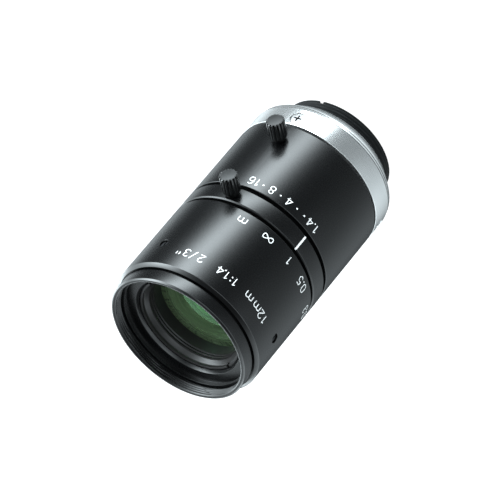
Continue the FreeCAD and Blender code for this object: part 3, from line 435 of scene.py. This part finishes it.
# Finishes of the CAD pieces that stay
NODE_LOOKS = [
    (INNER, ["main_barrel", "lens_barrel", "rear_cell", "iris_housing", "helicoid_retainer",
             "front_spacer", "inner_retaining_ring", "rear_spacer_1", "rear_spacer_2",
             "rear_retaining_ring"]),
    (BLACK_STEEL, ["guide_key", "focus_stop_pin", "iris_drive_pin", "iris_rotor"]
     + [f"iris_blade_{number}" for number in range(1, 7)]),
    (BRASS, ["focus_helicoid"]),
    (INNER_GLASS, [f"lens_{number}" for number in range(2, 8)]),
]
for look, node_names in NODE_LOOKS:
    for node_name in node_names:
        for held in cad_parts[node_name].material_slots:
            held.material = look


# Rings of the lens

def ring_rows(rear, *front):
    """Corners of a ring: its bore and rear edge, then the corners of its front."""
    return [(BORE, rear), (BODY - CHAMFER, rear), (BODY, rear + CHAMFER), *front]


def on_radii(shape, azimuths, height):
    """The same shape at several azimuths."""
    return [outward(shape, azimuth, height) for azimuth in azimuths]


lock_hole = hole(0.86)

iris_rows = soften(ring_rows(IRIS_REAR, (BODY, IRIS_FRONT - CHAMFER),
                             (BODY - CHAMFER, IRIS_FRONT), (BORE, IRIS_FRONT)))
drive_rear, drive_depth, drive_width = 24.5, 0.75, 0.9
drive_groove = swung(block((BORE - OVERCUT, BORE + drive_depth), centred(drive_width),
                           (drive_rear, IRIS_FRONT + OVERCUT)), DRIVE_AZIMUTH)
piece("iris_ring_turned", lathe(iris_rows), "iris_body", RING, ["iris_ring"],
      [outward(lock_hole, LOCK_AZIMUTH, IRIS_LOCK_HEIGHT), drive_groove])

index_rows = soften(ring_rows(INDEX_REAR, (BODY, INDEX_FRONT - INDEX_CHAMFER),
                              (BODY - INDEX_CHAMFER, INDEX_FRONT), (BORE, INDEX_FRONT)), 0.05)
piece("index_ring_turned", lathe(index_rows), "fixed_body", RING, ["index_ring"],
      [outward(lock_hole, LOCK_AZIMUTH, FOCUS_LOCK_HEIGHT)])

lip = 15.98                     # radius at the front of the focus ring's bevel
sleeve_seat = 49.50             # floor of its front recess
focus_rows = soften(ring_rows(
    FOCUS_REAR, (BODY, FOCUS_CORNER, 0.08), (lip, 53.88, 0.06), (lip - 0.06, 53.60, 0.0),
    (14.85, 53.60), (14.85, sleeve_seat), (BORE, sleeve_seat)))
focus_ring = piece("focus_ring_turned", lathe(focus_rows), "focus_body", RING,
                   ["focus_ring"], on_radii(hole(1.03), SET_SCREW_AZIMUTHS, SET_SCREW_HEIGHT))
finish_faces(focus_ring, EDGE,
             lambda at: at.z > FOCUS_CORNER - 0.04 and at.xy.length > lip - 0.03)

rim_bevel = 0.32
filter_rows = soften([
    # Foot in the lens barrel
    (13.55, 50.3), (14.75, 50.3), (14.75, 54.0, 0.0),
    # Outside and rim
    (15.45, 54.0), (FRONT_RADIUS, 54.35), (FRONT_RADIUS, RIM - rim_bevel),
    (FRONT_RADIUS - rim_bevel, RIM), (15.0, RIM, 0.16),
    # Wall of the filter thread, with a groove behind it
    (FILTER_WALL, RIM - 0.27), (FILTER_WALL, FILTER_FLOOR, 0.03), (15.13, FILTER_FLOOR, 0.03),
    (15.13, 54.75, 0.03),
    # Lip, and the steps down to the retaining ring
    (14.22, 54.75, 0.04), (14.20, 54.55, 0.03), (14.55, 54.35, 0.0), (14.55, 53.5, 0.03),
    (12.25, 53.5), (11.9, 52.75), (11.9, 52.3, 0.02), (13.55, 52.3, 0.02),
])
filter_rows = divide(filter_rows, FILTER_WALL, FILTER_FLOOR, RIM - 0.3, step=0.055)
filter_thread = thread(FILTER_WALL, FILTER_FLOOR - 0.05, RIM - 0.25, pitch=0.5, depth=0.26,
                       fade=0.25)
front_ring = piece("front_ring_turned", lathe(filter_rows, 224, filter_thread), "lens_unit",
                   RING, ["front_ring"])
finish_faces(front_ring, EDGE, lambda at: at.z > RIM - rim_bevel - 0.03
             and at.xy.length > FRONT_RADIUS - rim_bevel - 0.03)


# Front retaining ring with its ridges and spanner slots

retainer_bore, retainer_radius, retainer_front = 10.42, 11.75, 52.75
ridge_height, ridge_width = 0.16, 0.3
ridged = [
    # Outside
    (retainer_bore, GLASS_SEAT, 0.0), (retainer_radius, GLASS_SEAT, 0.0),
    (retainer_radius, retainer_front - 0.1), (11.68, retainer_front),
    # Front step and the cone down to the ridges
    (11.24, retainer_front, 0.04), (11.24, 52.15, 0.0), (11.14, 52.10, 0.03),
    (10.50, 51.30, 0.05), (retainer_bore, 51.0, 0.02),
]
for crest in (50.6, 50.0):
    ridged += [(retainer_bore + ridge_height, crest, 0.03),
               (retainer_bore, crest - ridge_width, 0.03)]
spanner_slot = block((9.4, 12.8), centred(0.9), (51.95, 53.8))
piece("front_retaining_ring_turned", lathe(soften(ridged, 0.05)), "lens_unit",
      FRONT_INNER, ["front_retaining_ring"],
      [swung(spanner_slot, azimuth) for azimuth in SPANNER_AZIMUTHS])


# Silver mount with its thread and screws

groove_half = 0.08
rear_groove, front_groove = V_GROOVES
mount_rows = soften([
    # Flange and tapered shoulder
    (12.73, 0.0), (14.0, 0.0), (16.45, 2.75, 0.15),
    # The two V grooves
    (16.55, rear_groove - groove_half, 0.0), (16.45, rear_groove, 0.0),
    (16.58, rear_groove + groove_half, 0.0),
    (BODY - 0.03, front_groove - groove_half, 0.0), (BODY - 0.14, front_groove, 0.0),
    (BODY, front_groove + groove_half, 0.0),
    # Barrel, and the seat of the thread inside
    (BODY, SHELL_FRONT - 0.05, 0.02), (BODY - 0.05, SHELL_FRONT, 0.02),
    (13.6, SHELL_FRONT), (13.6, 2.95, 0.0), (12.73, 2.95, 0.0),
])
shank_end, head_seat, head_top = 12.6, 15.6, 16.6
counterbore = hole(1.6, head_seat, 64)
shank_hole = lathe([(0.0, shank_end), (0.85, shank_end), (0.85, head_top), (0.0, head_top)], 40)
mount_shell = piece("mount_shell_turned", lathe(mount_rows), "fixed_body",
                    SILVER, ["mount_base"],
                    [outward(cutter, azimuth, MOUNT_SCREW_HEIGHT)
                     for azimuth in MOUNT_SCREW_AZIMUTHS for cutter in (counterbore, shank_hole)])
# Painted shade: the faces of the two V grooves get the dark finish, standing in for the shade in
# them.
finish_faces(mount_shell, RECESS_PAINTED_SHADE, lambda at: at.xy.length > BODY - 0.75
             and any(abs(at.z - groove) < groove_half - 0.01 for groove in V_GROOVES))

mount_bore, thread_seat = 10.6, 2.9
thread_rows = soften([
    (mount_bore, THREAD_REAR), (MOUNT_WALL - 0.25, THREAD_REAR),
    (MOUNT_WALL, THREAD_REAR + 0.25, 0.03), (MOUNT_WALL, 0.0, 0.0),
    # Relief in front of the flange
    (MOUNT_WALL - 0.3, 0.0, 0.0), (MOUNT_WALL - 0.3, 0.7, 0.0), (MOUNT_WALL, 0.7, 0.0),
    (MOUNT_WALL, thread_seat, 0.0), (mount_bore, thread_seat, 0.0),
])
thread_rows = divide(thread_rows, MOUNT_WALL, THREAD_REAR + 0.3, 0.0, step=0.085)
mount_thread = thread(MOUNT_WALL, THREAD_REAR + 0.24, 0.0, pitch=25.4 / 32.0, depth=-0.45,
                      fade=0.3)
notch_reach = 0.75
notch = lathe([(0.0, 9.6), (notch_reach, 9.6), (notch_reach, 13.7), (0.0, 13.7)], 4)
piece("mount_thread_cut", lathe(thread_rows, 224, mount_thread), "fixed_body",
      THREAD, ["c_mount_thread"], on_radii(notch, NOTCH_AZIMUTHS, THREAD_REAR))

shank, head_radius = 0.8, 1.5
screw = lathe(soften([
    (0.0, shank_end, 0.0), (shank, shank_end, 0.0), (shank, head_seat, 0.0),
    (head_radius, head_seat, 0.05), (head_radius, head_top - 0.1, 0.08),
    (head_radius - 0.12, head_top, 0.08), (0.0, head_top, 0.0),
]), 64)
cross_floor, cross_width, cross_length = 15.95, 0.38, 1.8
cross = [block(centred(cross_width), centred(cross_length), (cross_floor, SLOT_END)),
         block(centred(cross_length), centred(cross_width), (cross_floor, SLOT_END))]
mount_screws = piece("mount_screws_cut",
                     joined(*on_radii(screw, MOUNT_SCREW_AZIMUTHS, MOUNT_SCREW_HEIGHT)),
                     "fixed_body", STEEL, ["mount_screws"],
                     [outward(arm, azimuth, MOUNT_SCREW_HEIGHT)
                      for azimuth in MOUNT_SCREW_AZIMUTHS for arm in cross])
# Painted shade: the sides of the screw heads in their counterbores and the cross slots get the
# dark finish.
finish_faces(mount_screws, RECESS_PAINTED_SHADE,
             lambda at: head_seat + 0.1 < at.xy.length < head_top - 0.12)

set_rear, set_top, set_radius = 15.13, 16.38, 1.0
slot_floor, slot_width, slot_length = 15.9, 0.35, 2.2
set_screw = lathe(soften([
    (0.0, set_rear, 0.0), (set_radius, set_rear, 0.0), (set_radius, set_top - 0.1, 0.06),
    (set_radius - 0.1, set_top, 0.06), (0.0, set_top, 0.0),
]), 48)
set_slot = block(centred(slot_width), centred(slot_length), (slot_floor, SLOT_END))
set_screws = piece("focus_set_screws_cut",
                   joined(*on_radii(set_screw, SET_SCREW_AZIMUTHS, SET_SCREW_HEIGHT)),
                   "focus_body", BLACK_STEEL, ["focus_set_screws"],
                   on_radii(set_slot, SET_SCREW_AZIMUTHS, SET_SCREW_HEIGHT))
# Painted shade: the slots and sides of the set screws are made near black.
finish_faces(set_screws, HOLLOW_PAINTED_SHADE,
             lambda at: slot_floor - 0.1 < at.xy.length < set_top - 0.13)
# Painted shade: the walls of the set screws' holes in the focus ring are made near black.
finish_faces(focus_ring, HOLLOW_PAINTED_SHADE, lambda at: BORE + 0.05 < at.xy.length < BODY - 0.04
             and abs(at.z - SET_SCREW_HEIGHT) < set_radius + 0.2)


# Thumb screws

FLUTES = 16
KNOB_RADIUS = 1.93
KNOB_NECK = 1.4                 # radius behind the fluted head
KNOB_REAR, KNOB_FRONT = 17.9, 21.9


def fluted(r, z, angle):
    """Straight flutes round the head of a thumb screw."""
    depth, half_width, pitch = 0.34, 0.20, TURN / FLUTES
    if z < KNOB_REAR + 0.05 or r < KNOB_NECK:
        return r, z
    offset = (angle + pitch / 2) % pitch - pitch / 2
    across = min(1.0, abs(offset) * KNOB_RADIUS / half_width)
    return min(r, KNOB_RADIUS - depth * (1.0 - across ** 3)), z


knob_rows = soften([
    # Shank and neck
    (0.0, 15.2, 0.0), (0.8, 15.2, 0.0), (0.8, 16.9, 0.03), (KNOB_NECK, 16.9, 0.06),
    # Fluted head
    (KNOB_NECK, KNOB_REAR, 0.0), (KNOB_RADIUS, KNOB_REAR, 0.05),
    (KNOB_RADIUS, KNOB_FRONT - 0.18, 0.06), (KNOB_RADIUS - 0.18, KNOB_FRONT, 0.04),
    # Turned groove in its top
    (1.62, KNOB_FRONT, 0.02), (1.60, KNOB_FRONT - 0.05, 0.02), (1.52, KNOB_FRONT - 0.05, 0.02),
    (1.50, KNOB_FRONT - 0.02, 0.02), (0.0, KNOB_FRONT - 0.02, 0.0),
])
knob_out = outwards(LOCK_AZIMUTH)
edge_rear, edge_front = KNOB_FRONT - 0.20, KNOB_FRONT - 0.06
for name, height, body, node_name in (
        ("iris_thumb_screw", IRIS_LOCK_HEIGHT, "iris_lock", "iris_lock_screw"),
        ("focus_thumb_screw", FOCUS_LOCK_HEIGHT, "focus_lock", "focus_lock_screw")):
    thumb_screw = piece(name, outward(lathe(knob_rows, 256, fluted), LOCK_AZIMUTH, height),
                        body, KNOB, [node_name])
    foot = Vector((0.0, 0.0, height))
    finish_faces(thumb_screw, KNOB_FACE, lambda at: at.dot(knob_out) > edge_front)
    finish_faces(thumb_screw, EDGE, lambda at: edge_rear < at.dot(knob_out) < edge_front)
    # Painted shade: the flute valleys, the rear of the head, the neck and the shank are made near
    # black.
    finish_faces(thumb_screw, HOLLOW_PAINTED_SHADE, lambda at: at.dot(knob_out) < edge_rear
                 and (at - foot - knob_out * at.dot(knob_out)).length < KNOB_RADIUS - 0.08)


# Front element

def cap(rim, height, rise):
    """Rows of a spherical face from its rim to the axis."""
    steps = 20
    radius = (rim * rim + rise * rise) / (2.0 * rise)
    half = math.asin(rim / radius)
    rows = [(radius * math.sin(half * (1.0 - step / steps)),
             height + radius * (math.cos(half * (1.0 - step / steps)) - math.cos(half)))
            for step in range(steps)]
    return rows + [(0.0, height + rise)]


glass_radius, glass_rear = 11.42, 43.2
crown_rim, crown_rise = 10.40, 1.9
hollow_rim, hollow_rise = 9.30, 4.4
lens_rows = list(reversed(cap(hollow_rim, glass_rear, hollow_rise)))
lens_rows += [(glass_radius, glass_rear), (glass_radius, GLASS_SEAT)]
lens_rows += cap(crown_rim, GLASS_SEAT, crown_rise)
front_element = piece("front_element_polished", lathe(lens_rows, 160), "lens_unit",
                      FRONT_GLASS, ["lens_1"], crease=20.0)
# The rear annulus and edge of the front element take the pale edge paint with its painted light,
# which brightens the glass's outer zone.
finish_faces(front_element, GROUND_EDGE_AND_PAINTED_LIGHT,
             lambda at: at.xy.length > hollow_rim + 0.01 and at.z < GLASS_SEAT - 0.05)


# Dial marks

STROKE_WIDTH = 0.185
LONGEST_STEP = 0.22             # of a ribbon that follows the barrel
PROUD, SUNK = 0.012, 0.03       # how far the paint stands out and goes in
DOT_RADIUS = 0.085              # of a character's dots, as a share of its height


def arc(x, y, rx, ry, start, end, steps=14):
    """Points of an elliptical arc between two angles in degrees."""
    turns = [math.radians(start + (end - start) * step / steps) for step in range(steps + 1)]
    return [(x + rx * math.cos(turn), y + ry * math.sin(turn)) for turn in turns]


def loop(x, y, rx, ry):
    """Points of a whole ellipse."""
    return arc(x, y, rx, ry, 0.0, 360.0, 28)


def hump(x):
    """One of the two humps of an m."""
    return [(x, 0.36)] + arc(x + 0.235, 0.42, 0.235, 0.24, 180.0, 0.0, 10) + [(x + 0.47, 0.0)]


STADIUM = arc(0.0, 0.70, 0.27, 0.30, 0.0, 180.0) + arc(0.0, 0.30, 0.27, 0.30, 180.0, 360.0)

# Strokes of each character, one unit high; "oo" is the sign for infinity
STROKES = {
    "0": [STADIUM + STADIUM[:1]],
    "1": [[(0.04, 0.0), (0.04, 1.0)], [(0.04, 0.98), (-0.18, 0.78)]],
    "2": [arc(0.0, 0.715, 0.27, 0.285, 172.0, -32.0), [(0.229, 0.564), (-0.27, 0.0)],
          [(-0.30, 0.0), (0.29, 0.0)]],
    "3": [arc(-0.02, 0.745, 0.245, 0.255, 155.0, -90.0),
          arc(-0.02, 0.255, 0.28, 0.255, 90.0, -155.0)],
    "4": [[(0.13, 0.0), (0.13, 1.0)], [(0.13, 1.0), (-0.33, 0.27)],
          [(-0.36, 0.27), (0.34, 0.27)]],
    "5": [[(0.26, 1.0), (-0.20, 1.0)], [(-0.20, 1.0), (-0.235, 0.54)],
          arc(0.0, 0.315, 0.285, 0.315, 138.0, -150.0)],
    "6": [loop(0.0, 0.29, 0.275, 0.29),
          arc(0.03, 0.50, 0.305, 0.50, 48.0, 180.0) + [(-0.275, 0.29)]],
    "8": [loop(0.0, 0.755, 0.225, 0.245), loop(0.0, 0.26, 0.275, 0.26)],
    "/": [[(-0.24, -0.12), (0.24, 1.08)]],
    "\"": [[(-0.17, 1.0), (-0.20, 0.62)], [(0.17, 1.0), (0.14, 0.62)]],
    "m": [[(-0.47, 0.0), (-0.47, 0.66)], hump(-0.47), hump(0.0)],
    "oo": [[(0.62 * math.sin(TURN * i / 48), 0.38 + 0.30 * math.sin(2 * TURN * i / 48))
            for i in range(49)]],
}
DOTS = {".": [0.085], ":": [0.24, 0.72]}


def index_wall(z):
    """Radius of the index ring with its chamfers."""
    return (BODY - max(0.0, z - (INDEX_FRONT - INDEX_CHAMFER))
            - max(0.0, INDEX_REAR + CHAMFER - z))


def stroke(points):
    """A flat ribbon along points, as rows of (left, right)."""
    path = [points[0]]
    for start, end in zip(points, points[1:]):
        count = max(1, math.ceil(math.dist(start, end) / LONGEST_STEP))
        path += [(start[0] + (end[0] - start[0]) * i / count,
                  start[1] + (end[1] - start[1]) * i / count) for i in range(1, count + 1)]
    closed = math.dist(path[0], path[-1]) < 1e-6
    rows = []
    for number, (x, y) in enumerate(path):
        before = path[number - 1] if number else (path[-2] if closed else path[0])
        if number + 1 < len(path):
            after = path[number + 1]
        else:
            after = path[1] if closed else path[-1]
        dx, dy = after[0] - before[0], after[1] - before[1]
        half = STROKE_WIDTH / 2 / math.hypot(dx, dy)
        rows.append(((x - dy * half, y + dx * half), (x + dy * half, y - dx * half)))
    return rows


def inlay(rows, azimuth, base, wall=None):
    """Wrap a ribbon round the lens as a thin closed piece of paint."""
    vertices, faces = [], []
    for row in rows:
        for x, y in row:
            height = base + y
            radius = wall(height) if wall else BODY
            angle = heading(azimuth) + x / BODY
            for reach in (radius + PROUD, radius - SUNK):
                vertices.append((reach * math.cos(angle), reach * math.sin(angle), height))
    last = (len(rows) - 1) * 4
    for a in range(0, last, 4):
        b = a + 4
        faces += [(a, a + 2, b + 2, b), (a + 1, b + 1, b + 3, a + 3), (a, b, b + 1, a + 1),
                  (a + 2, a + 3, b + 3, b + 2)]
    faces += [(0, 1, 3, 2), (last, last + 2, last + 3, last + 1)]
    return vertices, faces


def spot(azimuth, middle, radius):
    """A round dot as a ribbon of rows."""
    steps = 12
    rows = []
    for step in range(1, steps):
        turn = math.pi * step / steps
        across, reach = -radius * math.cos(turn), radius * math.sin(turn)
        rows.append(((across, reach), (across, -reach)))
    return inlay(rows, azimuth, middle)


def written(marks, base, size):
    """Characters, each centred on its azimuth, that stand on a height."""
    shapes = []
    for character, azimuth in marks:
        shapes += [spot(azimuth, base + y * size, DOT_RADIUS * size)
                   for y in DOTS.get(character, ())]
        shapes += [inlay(stroke([(x * size, y * size) for x, y in points]), azimuth, base)
                   for points in STROKES.get(character, ())]
    return shapes


def paint(name, shape, body):
    """White paint that rides on a ring."""
    piece(name, shape, body, PAINT, crease=40.0)


iris_middle, iris_size, iris_dot = 26.02, 1.92, 0.195
iris_marks = written([("1", -2.2), (".", 0.5), ("4", 4.5), ("4", 24.6), ("8", 38.7),
                      ("1", 50.6), ("6", 55.3)], iris_middle - iris_size / 2, iris_size)
iris_marks += [spot(azimuth, iris_middle, iris_dot) for azimuth in (10.3, 17.3, 31.7, 45.8)]
paint("iris_dial_paint", joined(*iris_marks), "iris_body")

focus_middle, focus_size = 35.9, 1.9
line_base = 48.0                # of the focal length, aperture and format
focus_marks = written([("m", 41.2)], focus_middle - 0.63, focus_size)
focus_marks += written([("oo", 19.7)], focus_middle - 0.72, focus_size)
focus_marks += written([("1", -1.6), ("0", -26.4), (".", -22.9), ("5", -19.1), ("0", -54.4),
                        (".", -50.9), ("3", -47.1)], focus_middle - focus_size / 2, focus_size)
focus_marks += written([("1", -16.2), ("2", -11.3), ("m", -5.0), ("m", 4.1), ("1", 17.8),
                        (":", 21.0), ("1", 25.0), (".", 27.6), ("4", 30.6), ("2", 45.9),
                        ("/", 52.2), ("3", 57.4), ("\"", 63.3)], line_base, focus_size)
paint("focus_dial_paint", joined(*focus_marks), "focus_body")

line_half = 0.22
line_heights = (INDEX_REAR + 0.03, INDEX_REAR + CHAMFER, 30.0, 31.0, 32.0,
                INDEX_FRONT - INDEX_CHAMFER, INDEX_FRONT - 0.04)
index_line = [((line_half, z), (-line_half, z)) for z in line_heights]
paint("index_line_paint", inlay(index_line, 0.0, 0.0, index_wall), "fixed_body")


# Studio

AMBIENT = 0.08                  # light from everywhere
STUDIO_TINT = (0.895, 1.0, 1.045, 1.0)
WHITE = (1.0, 1.0, 1.0, 1.0)

# Soft patches of light.  Each row gives the azimuth from +X and the elevation of the middle,
# the half widths across and along, the strength, and how far the patch leans in azimuth for
# each degree of elevation.
PATCHES = [
    (-10.7, -20.0, 16.0, 45.0, 15.5, 0.61),
    (28.0, 34.0, 29.0, 21.0, 9.5, 0.0),
    (-160.0, -32.0, 45.0, 22.0, 0.40, 0.0),
    (-174.0, 14.0, 30.0, 32.0, 2.4, 0.0),
    (-115.0, 5.0, 25.0, 20.0, 3.2, 0.0),
    (-67.0, 32.0, 26.0, 15.0, 3.6, 0.0),
    (82.0, 2.0, 20.0, 30.0, 3.5, 0.0),
    (158.0, -33.0, 18.0, 15.0, 0.14, 0.0),
    (113.0, 4.0, 40.0, 9.0, 5.5, 0.0),
    (113.0, 36.0, 30.0, 18.0, 1.1, 0.0),
    (0.0, -80.0, 1000.0, 20.0, 1.0, 0.0),
]


def studio_light():
    """Light the lens from all round, with a plain white background for the camera."""
    world = bpy.data.worlds.new("studio")
    SCENE.world = world
    world.use_nodes = True
    nodes, links = world.node_tree.nodes, world.node_tree.links
    nodes.clear()

    def maths(operation, *values):
        made = nodes.new("ShaderNodeMath")
        made.operation = operation
        for number, value in enumerate(values):
            if isinstance(value, (int, float)):
                made.inputs[number].default_value = value
            else:
                links.new(value, made.inputs[number])
        return made.outputs[0]

    def squared_share(value, degrees):
        share = maths("DIVIDE", value, math.radians(degrees))
        return maths("MULTIPLY", share, share)

    def background(colour):
        made = nodes.new("ShaderNodeBackground")
        made.inputs["Color"].default_value = colour
        return made

    coordinates = nodes.new("ShaderNodeTexCoord")
    apart = nodes.new("ShaderNodeSeparateXYZ")
    links.new(coordinates.outputs["Generated"], apart.inputs[0])
    around = maths("ARCTAN2", apart.outputs["Y"], apart.outputs["X"])
    above = maths("ARCSINE", apart.outputs["Z"])
    total = AMBIENT
    for azimuth, elevation, wide, tall, strength, lean in PATCHES:
        up = maths("SUBTRACT", above, math.radians(elevation))
        middle = maths("ADD", maths("MULTIPLY", up, lean), math.radians(azimuth))
        turned = maths("WRAP", maths("SUBTRACT", around, middle), math.pi, -math.pi)
        away = maths("ADD", squared_share(turned, wide), squared_share(up, tall))
        patch = maths("MULTIPLY", maths("EXPONENT", maths("MULTIPLY", away, -1.0)), strength)
        total = maths("ADD", patch, total)
    studio = background(STUDIO_TINT)
    links.new(total, studio.inputs["Strength"])
    plain = background(WHITE)
    path = nodes.new("ShaderNodeLightPath")
    choose = nodes.new("ShaderNodeMixShader")
    links.new(path.outputs["Is Camera Ray"], choose.inputs["Fac"])
    links.new(studio.outputs[0], choose.inputs[1])
    links.new(plain.outputs[0], choose.inputs[2])
    out = nodes.new("ShaderNodeOutputWorld")
    links.new(choose.outputs[0], out.inputs["Surface"])


studio_light()


def make_floor():
    """A pale floor just behind the thread, bright enough to lose its horizon."""
    level = THREAD_REAR - 0.02
    rows = [(reach, level) for reach in (0.0, 60.0, 200.0, 600.0, 1500.0)]
    thing = make_object("floor", lathe(rows, 96))
    made, tree, shader = new_material("pale_floor")
    coordinates = tree.nodes.new("ShaderNodeTexCoord").outputs["Object"]
    noise = noise_node(tree, coordinates, scale=60.0, detail=2.0)
    colour_ramp(tree, noise.outputs["Fac"], shader, (0.30, 0.30, 0.30), (0.32, 0.32, 0.32))
    shader.inputs["Roughness"].default_value = 0.9
    shader.inputs["Specular IOR Level"].default_value = 0.0
    shader.inputs["Emission Color"].default_value = WHITE
    shader.inputs["Emission Strength"].default_value = 0.92
    thing.data.materials.append(made)
    thing.visible_glossy = False
    thing.visible_diffuse = False
    thing.visible_transmission = False
    thing.visible_shadow = False


make_floor()


def make_camera():
    """A camera at the angle of the photograph."""
    distance, to_left, down = 0.8013, 0.00435, 0.00472
    middle = Vector((0.0, 0.0, 0.022))
    right = Vector((-0.56851, -0.62628, -0.53350)).normalized()
    back = Vector((0.32376, -0.76647, 0.55468)).normalized()
    right = (right - back * right.dot(back)).normalized()
    up = back.cross(right)
    location = middle + back * distance - right * to_left - up * down
    lens = bpy.data.cameras.new("camera")
    lens.sensor_width = 36.0
    lens.sensor_fit = "HORIZONTAL"
    lens.lens = 283.97
    lens.clip_start = 0.01
    lens.clip_end = 20.0
    camera = bpy.data.objects.new("camera", lens)
    SCENE.collection.objects.link(camera)
    camera.matrix_world = Matrix((
        (right.x, up.x, back.x, location.x),
        (right.y, up.y, back.y, location.y),
        (right.z, up.z, back.z, location.z),
        (0.0, 0.0, 0.0, 1.0),
    ))
    SCENE.camera = camera


make_camera()
SCENE.view_settings.view_transform = "Standard"
SCENE.view_settings.look = "None"
